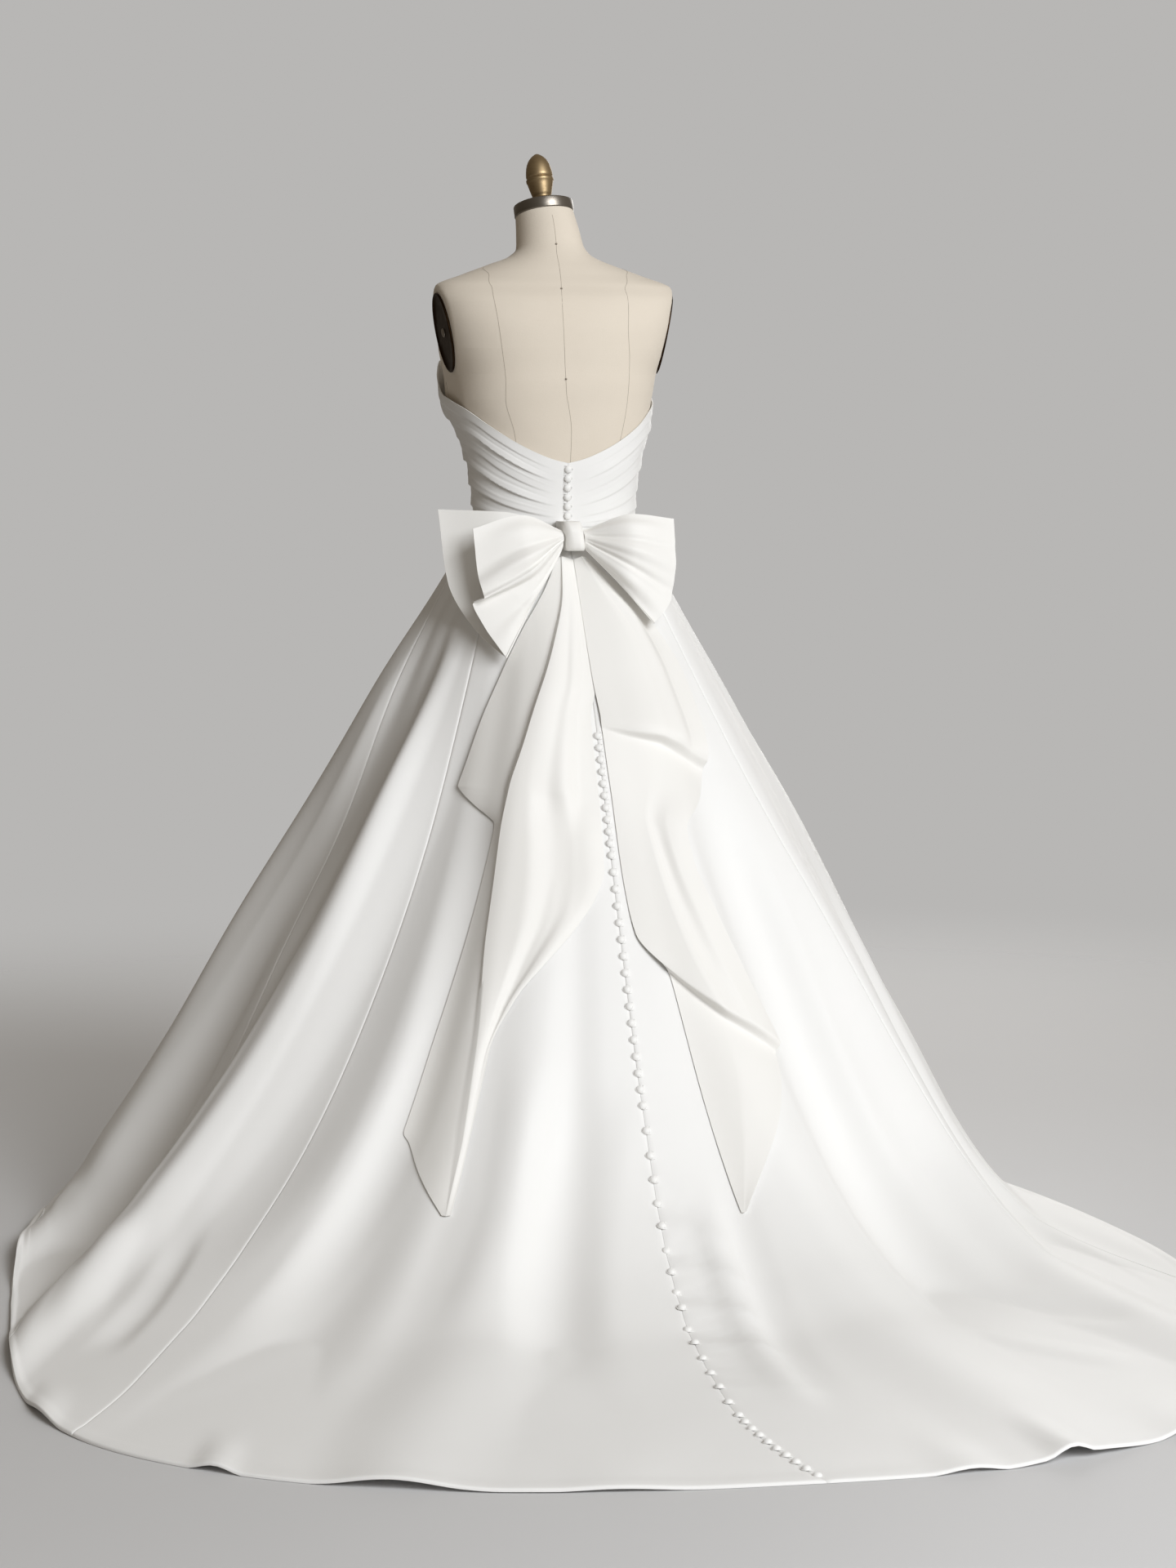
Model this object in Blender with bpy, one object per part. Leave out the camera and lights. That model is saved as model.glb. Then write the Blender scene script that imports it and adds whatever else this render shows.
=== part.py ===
"""Strapless ball gown with a pleated bodice, a bow and a train, on its limbless dress form.

Metres, +Z up. The origin is the centre of the stand's foot on the floor. The front of the
gown faces -Y and the train runs to +Y. Angles round the body are 0 at the front, 90 at the
wearer's left (+X) and 180 at the centre back.
"""
import math

import bpy
import numpy as np

# ---------------------------------------------------------------- driving sizes
WALL = 0.002
SEAM_GAP = 0.0004
FLOOR_GAP = 0.0005
WAIST_Z = 1.072
BODICE_GAP = 0.0016
TORSO_STEP = 15.0
BUTTON_RADIUS = 0.006
BUTTON_HEIGHT = 0.0045
TAPE_HALF = 0.0065
TAPE_HEIGHT = 0.0010
POLE_RADIUS = 0.016

# Form, bottom to top.
TORSO_COLUMNS = ("z", "half", "front", "back", "cx", "cy", "square", "tilt")
TORSO = (
    (0.800, 0.128, 0.088, 0.098, 0.000, 0.000, 2.2, 0.0),
    (0.830, 0.150, 0.102, 0.118, 0.000, 0.000, 2.2, 0.0),
    (0.890, 0.162, 0.108, 0.128, 0.000, 0.000, 2.2, 0.0),
    (0.950, 0.157, 0.106, 0.120, 0.000, 0.000, 2.2, 0.0),
    (1.010, 0.139, 0.100, 0.102, 0.000, 0.000, 2.2, 0.0),
    (1.072, 0.126, 0.096, 0.092, 0.000, 0.000, 2.2, 0.0),
    (1.120, 0.128, 0.096, 0.094, 0.000, -0.004, 2.2, 0.0),
    (1.170, 0.1345, 0.098, 0.104, -0.0015, -0.012, 2.3, 0.0),
    (1.220, 0.1485, 0.110, 0.117, -0.0025, -0.022, 2.4, 0.0),
    (1.270, 0.1630, 0.114, 0.143, 0.001, -0.042, 2.6, 0.0),
    (1.310, 0.168, 0.108, 0.148, 0.000, -0.042, 2.6, 0.0),
    (1.350, 0.180, 0.100, 0.134, 0.000, -0.024, 2.5, 0.0),
    (1.395, 0.190, 0.090, 0.118, 0.000, -0.008, 2.4, 0.0),
    (1.430, 0.196, 0.080, 0.100, 0.000, -0.002, 2.2, 0.0),
    (1.449, 0.190, 0.066, 0.084, 0.000, -0.002, 2.0, 0.0),
    (1.467, 0.146, 0.056, 0.072, 0.001, -0.006, 1.9, 0.0),
    (1.483, 0.102, 0.052, 0.064, 0.002, -0.012, 1.9, 0.0),
    (1.497, 0.067, 0.052, 0.057, 0.003, -0.019, 2.0, 0.2),
    (1.511, 0.0540, 0.052, 0.051, 0.002, -0.025, 2.0, 0.6),
    (1.535, 0.0500, 0.050, 0.049, 0.0035, -0.033, 2.0, 1.0),
    (1.564, 0.0460, 0.0475, 0.0455, 0.0065, -0.042, 2.0, 1.0),
)
NECK_LEAN = (0.08, -0.24)
PLATE_CENTRE = (0.177, 0.003, 1.376)
PLATE_SLOPE = (0.12, -0.20)
PLATE_HALF = (0.038, 0.063)

# Skirt rings, waist to hem: t is the share of the cloth's length.
SKIRT_COLUMNS = ("t", "z_front", "z_side", "z_back", "y_front", "y_wide", "y_back", "left",
                 "right", "square_front", "square_back", "gather_front", "bulge", "skew")
SKIRT = (
    (0.00, 1.072, 1.072, 1.072, -0.100, 0.000, 0.096, 0.130, 0.130, 2.2, 2.2, 0.00, 0.000, 0.00),
    (0.06, 0.975, 0.970, 0.965, -0.150, 0.005, 0.170, 0.180, 0.182, 2.1, 2.1, 0.00, 0.012, 0.00),
    (0.16, 0.820, 0.810, 0.790, -0.230, 0.015, 0.285, 0.262, 0.270, 2.0, 2.0, 0.05, 0.034, 0.00),
    (0.27, 0.645, 0.630, 0.600, -0.310, 0.030, 0.385, 0.358, 0.372, 2.0, 2.0, 0.10, 0.046, 0.00),
    (0.38, 0.460, 0.440, 0.420, -0.390, 0.060, 0.485, 0.460, 0.466, 2.0, 2.1, 0.17, 0.060, 0.00),
    (0.49, 0.300, 0.260, 0.250, -0.455, 0.100, 0.590, 0.575, 0.545, 2.0, 2.2, 0.25, 0.050, 0.00),
    (0.58, 0.200, 0.130, 0.130, -0.490, 0.150, 0.690, 0.680, 0.600, 2.0, 2.3, 0.32, 0.038, 0.00),
    (0.66, 0.140, 0.055, 0.050, -0.512, 0.220, 0.820, 0.765, 0.635, 2.0, 2.4, 0.38, 0.012, -0.02),
    (0.74, 0.095, 0.018, 0.012, -0.520, 0.310, 0.960, 0.838, 0.670, 2.0, 2.4, 0.43, -0.010, -0.04),
    (0.86, 0.045, 0.005, 0.003, -0.525, 0.460, 1.210, 0.920, 0.730, 2.0, 2.55, 0.48, -0.050, -0.06),
    (1.00, 0.0025, 0.0025, 0.0025, -0.530, 0.600, 1.475, 0.995, 0.780, 2.0, 2.6, 0.50, -0.100, -0.07),
)
BULGE_ANGLE = 84.0
BULGE_HALF = 50.0
SKIRT_ROWS = (0.0, 0.03, 0.07, 0.12, 0.18, 0.25, 0.32, 0.39, 0.46, 0.53, 0.59, 0.65, 0.71,
              0.78, 0.86, 0.93, 1.0)

# Vertical seams of the skirt: angle at the waist, at mid length, low down and at the hem.
SEAM_COLUMNS = ("waist", "middle", "low", "hem")
SEAM_PLACES = (0.0, 0.5, 0.86, 1.0)
SEAMS = {
    "front_right": (-45.0, -45.0, -43.0, -42.0),
    "front_left": (45.0, 45.0, 43.0, 42.0),
    "side_left": (96.0, 104.0, 100.0, 98.0),
    "side_back_left": (134.0, 131.5, 128.5, 125.0),
    "back": (180.0, 180.0, 179.1, 180.0),
    "side_back_right": (226.0, 230.0, 239.0, 244.0),
    "side_right": (264.0, 258.0, 260.0, 262.0),
}
GORE_COLUMNS = ("name", "from_seam", "to_seam", "strips")
GORES = (
    ("skirt_front", "front_right", "front_left", 18),
    ("skirt_side_front_left", "front_left", "side_left", 14),
    ("skirt_side_back_left", "side_left", "side_back_left", 12),
    ("skirt_back_left", "side_back_left", "back", 12),
    ("skirt_back_right", "back", "side_back_right", 12),
    ("skirt_side_back_right", "side_back_right", "side_right", 8),
    ("skirt_side_front_right", "side_right", "front_right", 12),
)

# Skirt folds: angle at the waist, mid length and hem, half width in degrees, and how far the
# cloth stands out (+) or in (-) at a third of its length, at two thirds and at the hem.
FOLD_COLUMNS = ("waist", "middle", "hem", "half", "third", "low", "end")
FOLDS = (
    (0.0, 0.0, 0.0, 17.0, 0.012, 0.030, 0.014),
    (24.0, 22.0, 20.0, 11.0, -0.010, -0.022, 0.000),
    (46.0, 44.0, 40.0, 14.0, 0.012, 0.026, 0.012),
    (66.0, 64.0, 60.0, 10.0, -0.008, -0.020, 0.000),
    (86.0, 82.0, 78.0, 12.0, 0.010, 0.022, 0.014),
    (107.0, 97.0, 91.0, 9.0, -0.026, -0.036, -0.002),
    (123.0, 112.0, 101.0, 9.0, 0.022, 0.032, 0.010),
    (149.0, 148.0, 136.0, 9.0, -0.010, -0.022, 0.000),
    (165.0, 165.0, 156.0, 8.0, 0.004, 0.014, 0.010),
    (173.0, 171.0, 168.0, 5.0, -0.002, -0.008, 0.000),
    (196.0, 196.0, 199.0, 9.0, 0.006, 0.016, 0.008),
    (211.0, 211.0, 220.0, 11.0, -0.016, -0.028, 0.000),
    (231.0, 231.0, 236.0, 11.0, 0.012, 0.024, 0.016),
    (250.0, 249.0, 252.0, 9.0, -0.010, -0.020, 0.000),
    (272.0, 274.0, 270.0, 12.0, 0.010, 0.014, 0.006),
    (294.0, 296.0, 296.0, 10.0, -0.008, -0.020, 0.000),
    (314.0, 316.0, 318.0, 13.0, 0.012, 0.026, 0.014),
    (337.0, 338.0, 340.0, 10.0, -0.010, -0.022, 0.000),
)

# Bodice: height of the top edge and how far the cups stand off the form, by angle.
NECKLINE_COLUMNS = ("angle", "z_top", "stand_off")
NECKLINE = (
    (0.0, 1.275, 0.002),
    (25.0, 1.310, 0.006),
    (45.0, 1.335, 0.012),
    (56.0, 1.336, 0.014),
    (66.0, 1.315, 0.012),
    (76.0, 1.295, 0.007),
    (90.0, 1.277, 0.002),
    (100.0, 1.269, 0.000),
    (115.0, 1.257, 0.000),
    (135.0, 1.226, 0.000),
    (155.0, 1.197, 0.000),
    (172.0, 1.178, 0.000),
    (180.0, 1.172, 0.000),
)
BODICE_PANELS = (
    ("bodice_front", -60.0, 60.0, 16),
    ("bodice_side_left", 60.0, 82.5, 3),
    ("bodice_back_left", 82.5, 180.0, 13),
    ("bodice_back_right", 180.0, 277.5, 13),
    ("bodice_side_right", 277.5, 300.0, 3),
)
# Pleats of the bodice: share of the panel's height at the side and at the centre, and depth.
PLEAT_COLUMNS = ("side", "centre", "depth")
PLEATS = (
    (0.16, 0.06, 0.0030),
    (0.32, 0.15, 0.0035),
    (0.50, 0.32, 0.0045),
    (0.66, 0.50, 0.0035),
    (0.80, 0.68, 0.0045),
    (0.92, 0.86, 0.0030),
)
BODICE_BUTTON_Z = (1.162, 1.1475, 1.133, 1.1185, 1.104, 1.0895)

# Bow loops: lines across each loop, from the knot, through the middle, to the open end.
LINE_COLUMNS = ("knot_x", "knot_y", "knot_z", "mid_x", "mid_y", "mid_z", "end_x", "end_y", "end_z")
LOOP_LEFT = (
    (0.0197, 0.148, 1.068, 0.090, 0.172, 1.093, 0.167, 0.180, 1.073),
    (0.0197, 0.158, 1.060, 0.092, 0.196, 1.040, 0.161, 0.188, 1.004),
    (0.0197, 0.159, 1.054, 0.086, 0.206, 1.004, 0.155, 0.208, 0.968),
    (0.0197, 0.155, 1.050, 0.084, 0.195, 0.992, 0.170, 0.193, 0.958),
    (0.0197, 0.154, 1.045, 0.078, 0.194, 0.978, 0.153, 0.204, 0.922),
    (0.0197, 0.149, 1.041, 0.070, 0.187, 0.965, 0.124, 0.226, 0.877),
    (0.0197, 0.143, 1.048, 0.088, 0.166, 0.985, 0.152, 0.180, 0.905),
    (0.0197, 0.138, 1.058, 0.108, 0.145, 1.035, 0.196, 0.126, 0.988),
    (0.0197, 0.134, 1.068, 0.110, 0.134, 1.097, 0.208, 0.108, 1.101),
)
LOOP_RIGHT = (
    (-0.0137, 0.148, 1.068, -0.085, 0.173, 1.094, -0.155, 0.162, 1.086),
    (-0.0137, 0.158, 1.060, -0.086, 0.196, 1.050, -0.154, 0.178, 1.032),
    (-0.0137, 0.159, 1.050, -0.080, 0.200, 1.008, -0.145, 0.190, 0.966),
    (-0.0137, 0.151, 1.041, -0.064, 0.186, 0.984, -0.112, 0.206, 0.926),
    (-0.0137, 0.144, 1.048, -0.078, 0.161, 1.003, -0.134, 0.164, 0.950),
    (-0.0137, 0.138, 1.058, -0.090, 0.143, 1.045, -0.151, 0.124, 1.020),
    (-0.0137, 0.134, 1.068, -0.090, 0.134, 1.090, -0.150, 0.112, 1.082),
)
KNOT_COLUMNS = ("z", "half", "front", "seat")
KNOT = (
    (1.0370, 0.0130, 0.160, 0.1260),
    (1.0420, 0.0158, 0.166, 0.1230),
    (1.0520, 0.0160, 0.170, 0.1160),
    (1.0650, 0.0160, 0.169, 0.1080),
    (1.0760, 0.0158, 0.163, 0.1020),
    (1.0820, 0.0140, 0.154, 0.1000),
)
KNOT_X = 0.003

# Bow tails on the skirt. Each row gives the left edge, the crease and the right edge as angle
# and share of the skirt's length, and the height of each above the skirt.
TAIL_COLUMNS = ("left_angle", "left_t", "crease_angle", "crease_t", "right_angle", "right_t",
                "left_lift", "crease_lift", "right_lift", "step")
TAIL_LEFT = (
    (171.5, 0.0285, 174.0, 0.0285, 181.5, 0.0285, 0.010, 0.012, 0.004, 0.002),
    (164.5, 0.055, 172.5, 0.060, 181.8, 0.060, 0.010, 0.016, 0.004, 0.006),
    (155.0, 0.087, 168.3, 0.095, 182.0, 0.095, 0.010, 0.020, 0.004, 0.010),
    (147.0, 0.125, 164.2, 0.130, 181.8, 0.130, 0.010, 0.022, 0.004, 0.012),
    (142.0, 0.165, 160.8, 0.160, 178.4, 0.165, 0.012, 0.024, 0.004, 0.014),
    (139.4, 0.203, 157.2, 0.200, 178.4, 0.200, 0.012, 0.024, 0.004, 0.014),
    (138.4, 0.222, 155.6, 0.224, 178.5, 0.225, 0.010, 0.022, 0.004, 0.012),
    (139.8, 0.2285, 155.3, 0.233, 178.5, 0.233, 0.009, 0.020, 0.004, 0.011),
    (145.0, 0.239, 155.0, 0.242, 178.4, 0.242, 0.008, 0.018, 0.004, 0.008),
    (150.6, 0.250, 154.7, 0.255, 178.4, 0.255, 0.006, 0.016, 0.004, 0.006),
    (151.3, 0.262, 154.5, 0.268, 178.3, 0.266, 0.006, 0.015, 0.004, 0.005),
    (150.4, 0.290, 154.4, 0.292, 178.0, 0.288, 0.006, 0.016, 0.004, 0.006),
    (149.2, 0.340, 154.8, 0.340, 175.5, 0.312, 0.007, 0.018, 0.004, 0.010),
    (148.0, 0.395, 155.4, 0.385, 167.5, 0.358, 0.007, 0.018, 0.006, 0.010),
    (147.3, 0.435, 156.0, 0.425, 161.0, 0.400, 0.007, 0.016, 0.007, 0.008),
    (147.0, 0.470, 156.5, 0.465, 158.2, 0.440, 0.006, 0.012, 0.006, 0.006),
    (146.8, 0.503, 156.9, 0.503, 157.9, 0.498, 0.006, 0.010, 0.006, 0.005),
    (148.4, 0.515, 157.0, 0.520, 157.9, 0.515, 0.006, 0.009, 0.006, 0.004),
    (152.6, 0.549, 157.1, 0.552, 157.9, 0.550, 0.005, 0.008, 0.005, 0.002),
    (156.6, 0.583, 157.2, 0.584, 157.8, 0.583, 0.004, 0.005, 0.004, 0.000),
)
TAIL_RIGHT = (
    (180.3, 0.0285, 183.5, 0.0285, 187.0, 0.0285, 0.010, 0.012, 0.010, 0.002),
    (180.4, 0.060, 191.0, 0.057, 200.0, 0.050, 0.009, 0.016, 0.010, 0.000),
    (180.5, 0.095, 198.0, 0.090, 213.0, 0.080, 0.009, 0.020, 0.012, 0.000),
    (180.8, 0.130, 201.0, 0.135, 219.0, 0.127, 0.009, 0.022, 0.016, 0.000),
    (181.6, 0.160, 200.0, 0.176, 215.2, 0.196, 0.010, 0.028, 0.028, 0.000),
    (181.6, 0.167, 199.5, 0.184, 214.0, 0.207, 0.006, 0.022, 0.022, 0.000),
    (181.7, 0.172, 199.0, 0.188, 212.8, 0.213, 0.004, 0.008, 0.012, 0.000),
    (181.8, 0.200, 195.0, 0.217, 206.8, 0.235, 0.004, 0.010, 0.014, 0.000),
    (182.0, 0.235, 190.5, 0.250, 198.6, 0.261, 0.004, 0.012, 0.012, 0.000),
    (182.0, 0.275, 191.0, 0.283, 198.0, 0.291, 0.004, 0.014, 0.014, 0.000),
    (182.2, 0.312, 191.8, 0.323, 199.2, 0.331, 0.004, 0.016, 0.018, 0.000),
    (182.8, 0.342, 193.0, 0.366, 201.0, 0.389, 0.005, 0.018, 0.022, 0.000),
    (186.6, 0.370, 194.8, 0.414, 203.0, 0.446, 0.010, 0.020, 0.022, 0.000),
    (187.6, 0.377, 195.0, 0.422, 202.8, 0.454, 0.003, 0.006, 0.008, 0.000),
    (188.1, 0.435, 194.8, 0.464, 201.5, 0.476, 0.004, 0.010, 0.010, 0.000),
    (188.3, 0.500, 192.8, 0.516, 197.0, 0.521, 0.004, 0.009, 0.012, 0.000),
    (188.6, 0.590, 188.9, 0.591, 189.3, 0.590, 0.004, 0.005, 0.006, 0.000),
)

# Covered buttons down the skirt: how many, from where to where.
BUTTON_RUN_COLUMNS = ("count", "start", "end")
BUTTON_RUNS = (
    (10, 0.176, 0.275),
    (15, 0.275, 0.487),
    (9, 0.487, 0.687),
    (7, 0.687, 0.868),
    (10, 0.868, 1.003),
)

# Turned metal pieces: radius and height of each ring.
NECK_RING_PROFILE = ((0.0, 0.0), (0.0466, 0.0), (0.0476, 0.001), (0.0476, 0.017),
                     (0.0466, 0.0180), (0.0, 0.0180))
FINIAL_PROFILE = ((0.0, 0.0), (0.0158, 0.0), (0.0158, 0.0090), (0.0136, 0.0105), (0.0158, 0.0140),
                  (0.0190, 0.0260), (0.0208, 0.0345), (0.0220, 0.0365), (0.0220, 0.0400),
                  (0.0198, 0.0415), (0.0214, 0.0445), (0.0208, 0.0530), (0.0178, 0.0645),
                  (0.0125, 0.0735), (0.0070, 0.0785), (0.0, 0.0820))
BASE_PROFILE = ((0.0, 0.0), (0.185, 0.0), (0.190, 0.004), (0.186, 0.010), (0.120, 0.018),
                (0.030, 0.026), (0.0, 0.026))


# ---------------------------------------------------------------- curves and surfaces
def column(table, names, name):
    place = names.index(name)
    return np.array([row[place] for row in table], float)


def smooth(xs, ys, x):
    """A curve through the rows that never overshoots them."""
    xs = np.asarray(xs, float)
    ys = np.asarray(ys, float)
    x = np.clip(np.asarray(x, float), xs[0], xs[-1])
    step = np.diff(xs)
    slope = np.diff(ys) / step
    tangent = np.zeros(len(xs))
    tangent[0] = slope[0]
    tangent[-1] = slope[-1]
    for i in range(1, len(xs) - 1):
        if slope[i - 1] * slope[i] > 0:
            tangent[i] = 2 * slope[i - 1] * slope[i] / (slope[i - 1] + slope[i])
    k = np.clip(np.searchsorted(xs, x, side="right") - 1, 0, len(xs) - 2)
    s = (x - xs[k]) / step[k]
    start = (1 + 2 * s) * (1 - s) ** 2 * ys[k] + s * (1 - s) ** 2 * step[k] * tangent[k]
    end = s * s * (3 - 2 * s) * ys[k + 1] + s * s * (s - 1) * step[k] * tangent[k + 1]
    return start + end


def power(value, exponent):
    return np.sign(value) * np.abs(value) ** exponent


def section(angle, row):
    """Point of a form section, with its own front and back depth."""
    sine = np.sin(np.radians(angle))
    cosine = np.cos(np.radians(angle))
    depth = np.where(cosine > 0, row["front"], row["back"])
    x = row["cx"] + row["half"] * power(sine, 2 / row["square"])
    y = row["cy"] - depth * power(cosine, 2 / row["square"])
    return x, y


def torso_point(angle, z, out=0.0):
    """Point of the form's surface, moved out in plan."""
    z = np.asarray(z, float)
    row = {name: smooth(column(TORSO, TORSO_COLUMNS, "z"), column(TORSO, TORSO_COLUMNS, name), z)
           for name in TORSO_COLUMNS[1:]}
    x, y = section(angle, row)
    x_before, y_before = section(angle - 2.0, row)
    x_after, y_after = section(angle + 2.0, row)
    along_x = x_after - x_before
    along_y = y_after - y_before
    size = np.hypot(along_x, along_y)
    x = x + out * along_y / size
    y = y - out * along_x / size
    return x, y, row


def place_torso(angle, z):
    x, y, row = torso_point(angle, z)
    lean = NECK_LEAN[1] * (y - row["cy"]) + NECK_LEAN[0] * (x - row["cx"])
    height = z - row["tilt"] * lean
    for side in (1.0, -1.0):
        limit = plate_x(y, height)
        x = np.where(side * x > limit, side * limit, x)
    return np.stack([x, y, height], -1)


def plate_x(y, z):
    """Distance of the flat arm plate from the middle plane."""
    return PLATE_CENTRE[0] - PLATE_SLOPE[0] * (y - PLATE_CENTRE[1]) - PLATE_SLOPE[1] * (z - PLATE_CENTRE[2])


def skirt_base(angle, t):
    """Smooth skirt before its folds."""
    t = np.asarray(t, float)
    v = {name: smooth(column(SKIRT, SKIRT_COLUMNS, "t"), column(SKIRT, SKIRT_COLUMNS, name), t)
         for name in SKIRT_COLUMNS[1:]}
    turn = (angle + 180.0) % 360.0 - 180.0
    gathered = np.sign(turn) * 90.0 * (np.minimum(np.abs(turn), 90.0) / 90.0) ** (1.0 + v["gather_front"])
    turn = np.where(np.abs(turn) < 90.0, gathered, turn)
    sine = np.sin(np.radians(turn))
    cosine = np.cos(np.radians(turn))
    front = cosine > 0
    square = np.where(front, v["square_front"], v["square_back"])
    half = np.where(sine > 0, v["left"], v["right"])
    depth = np.where(front, v["y_wide"] - v["y_front"], v["y_back"] - v["y_wide"])
    ends = np.where(front, v["z_front"], v["z_back"])
    x = half * power(sine, 2 / square)
    y = v["y_wide"] - depth * power(cosine, 2 / square)
    z = ends * cosine ** 2 + v["z_side"] * sine ** 2
    away = np.minimum(np.abs(turn - BULGE_ANGLE) / BULGE_HALF, 1.0)
    x = x + v["bulge"] * (0.5 + 0.5 * np.cos(np.pi * away))
    y = y + v["skew"] * x
    return np.stack([x, y, z], -1)


def fold_height(angle, t):
    """How far the folds carry the cloth out of the smooth skirt."""
    total = np.zeros(np.broadcast(angle, t).shape)
    for row in FOLDS:
        fold = dict(zip(FOLD_COLUMNS, row))
        centre = smooth((0.0, 0.5, 1.0), (fold["waist"], fold["middle"], fold["hem"]), t)
        reach = smooth((0.0, 0.06, 0.33, 0.62, 0.82, 1.0),
                       (0.0, 0.1 * fold["third"], fold["third"], fold["low"],
                        0.5 * (fold["low"] + fold["end"]), fold["end"]), t)
        away = np.abs((angle - centre + 180.0) % 360.0 - 180.0) / fold["half"]
        total = total + reach * np.where(away < 1, 0.5 + 0.5 * np.cos(np.pi * np.minimum(away, 1)), 0)
    return total


def across(surface, angle, t):
    """Outward normal and the unit direction of growing angle on a skirt surface."""
    t_low = np.clip(t - 0.006, 0.0, 1.0)
    t_high = np.clip(t + 0.006, 0.0, 1.0)
    round_way = surface(angle + 0.8, t) - surface(angle - 0.8, t)
    down_way = surface(angle, t_high) - surface(angle, t_low)
    normal = np.cross(down_way, round_way)
    normal = normal / np.linalg.norm(normal, axis=-1, keepdims=True)
    round_way = round_way / np.linalg.norm(round_way, axis=-1, keepdims=True)
    return normal, round_way


def skirt_surface(angle, t):
    """Outer face of the skirt, folds and all, never under the floor."""
    normal, _ = across(skirt_base, angle, t)
    point = skirt_base(angle, t) + normal * fold_height(angle, t)[..., None]
    point[..., 2] = np.maximum(point[..., 2], FLOOR_GAP + WALL)
    return point


def seam_angle(name, t):
    return smooth(SEAM_PLACES, SEAMS[name], t)


def gore_angles(gore, t):
    start = seam_angle(gore["from_seam"], t)
    end = seam_angle(gore["to_seam"], t)
    if np.max(end) < np.min(start):
        end = end + 360.0
    return start, end


def gore_grids(gore):
    """Outer and inner points of one gore, row by row from the waist."""
    rows = np.array(SKIRT_ROWS)[:, None]
    share = np.linspace(0.0, 1.0, gore["strips"] + 1)[None, :]
    start, end = gore_angles(gore, rows)
    angle = start + (end - start) * share
    t = rows + 0.0 * share
    outer = skirt_surface(angle, t)
    normal, round_way = across(skirt_surface, angle, t)
    outer[:, 0] += round_way[:, 0] * SEAM_GAP / 2
    outer[:, -1] -= round_way[:, -1] * SEAM_GAP / 2
    inner = outer - normal * WALL
    inner[..., 2] = np.maximum(inner[..., 2], FLOOR_GAP)
    return outer, inner


GORE_ROWS = [dict(zip(GORE_COLUMNS, row)) for row in GORES]
GORE_GRIDS = {gore["name"]: gore_grids(gore) for gore in GORE_ROWS}


def on_skirt(angle, t, lift):
    """Point on the gores' own facets, moved out by lift."""
    angle = angle % 360.0
    for gore in GORE_ROWS:
        start, end = gore_angles(gore, np.array(t))
        if start <= angle <= end:
            break
    outer = GORE_GRIDS[gore["name"]][0]
    row = min(int(np.searchsorted(SKIRT_ROWS, t, side="right")) - 1, len(SKIRT_ROWS) - 2)
    down = (t - SKIRT_ROWS[row]) / (SKIRT_ROWS[row + 1] - SKIRT_ROWS[row])
    place = (angle - start) / (end - start) * gore["strips"]
    strip = min(int(place), gore["strips"] - 1)
    side = place - strip
    a = outer[row, strip]
    b = outer[row, strip + 1]
    c = outer[row + 1, strip + 1]
    d = outer[row + 1, strip]
    if side >= down:
        point = a + side * (b - a) + down * (c - b)
    else:
        point = a + down * (d - a) + side * (c - d)
    normal, _ = across(skirt_surface, np.array(angle), np.array(t))
    return point + lift * normal


def bodice_heights(angle):
    """Rows of the bodice as share of its height and how far each stands out for its pleat."""
    away = np.clip(np.abs(np.abs(angle) % 180.0 - 90.0) / 80.0, 0.0, 1.0)
    calm = np.clip((abs(180.0 - angle % 360.0) - 5.0) / 8.0, 0.0, 1.0)
    rows = [(0.0, 0.0)]
    for values in PLEATS:
        pleat = dict(zip(PLEAT_COLUMNS, values))
        share = pleat["side"] + (pleat["centre"] - pleat["side"]) * away
        rows.append((share - 0.012, 0.0))
        rows.append((share + 0.012, pleat["depth"] * calm))
    rows.append((1.0, 0.0))
    return rows


def bodice_point(angle, share, out):
    turn = abs((angle + 180.0) % 360.0 - 180.0)
    angles = column(NECKLINE, NECKLINE_COLUMNS, "angle")
    top = smooth(angles, column(NECKLINE, NECKLINE_COLUMNS, "z_top"), turn)
    stand = smooth(angles, column(NECKLINE, NECKLINE_COLUMNS, "stand_off"), turn)
    bottom = WAIST_Z + SEAM_GAP
    z = bottom + (top - bottom) * share
    ramp = np.clip((share - 0.35) / 0.65, 0.0, 1.0) ** 1.5
    x, y, _ = torso_point(np.array(angle), z, BODICE_GAP + stand * ramp + out)
    return np.array([float(x), float(y), float(z)])


def bodice_grids(start, end, strips):
    angles = np.linspace(start, end, strips + 1)
    count = len(bodice_heights(0.0))
    outer = np.zeros((count, strips + 1, 3))
    inner = np.zeros((count, strips + 1, 3))
    for col, angle in enumerate(angles):
        for row, (share, rise) in enumerate(bodice_heights(angle)):
            outer[row, col] = bodice_point(angle, share, rise + WALL)
            inner[row, col] = bodice_point(angle, share, rise)
    for grid in (outer, inner):
        for edge, toward in ((0, 1), (-1, -2)):
            step = grid[:, toward] - grid[:, edge]
            step = step / np.linalg.norm(step, axis=-1, keepdims=True)
            grid[:, edge] += step * SEAM_GAP / 2
    return outer, inner


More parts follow.
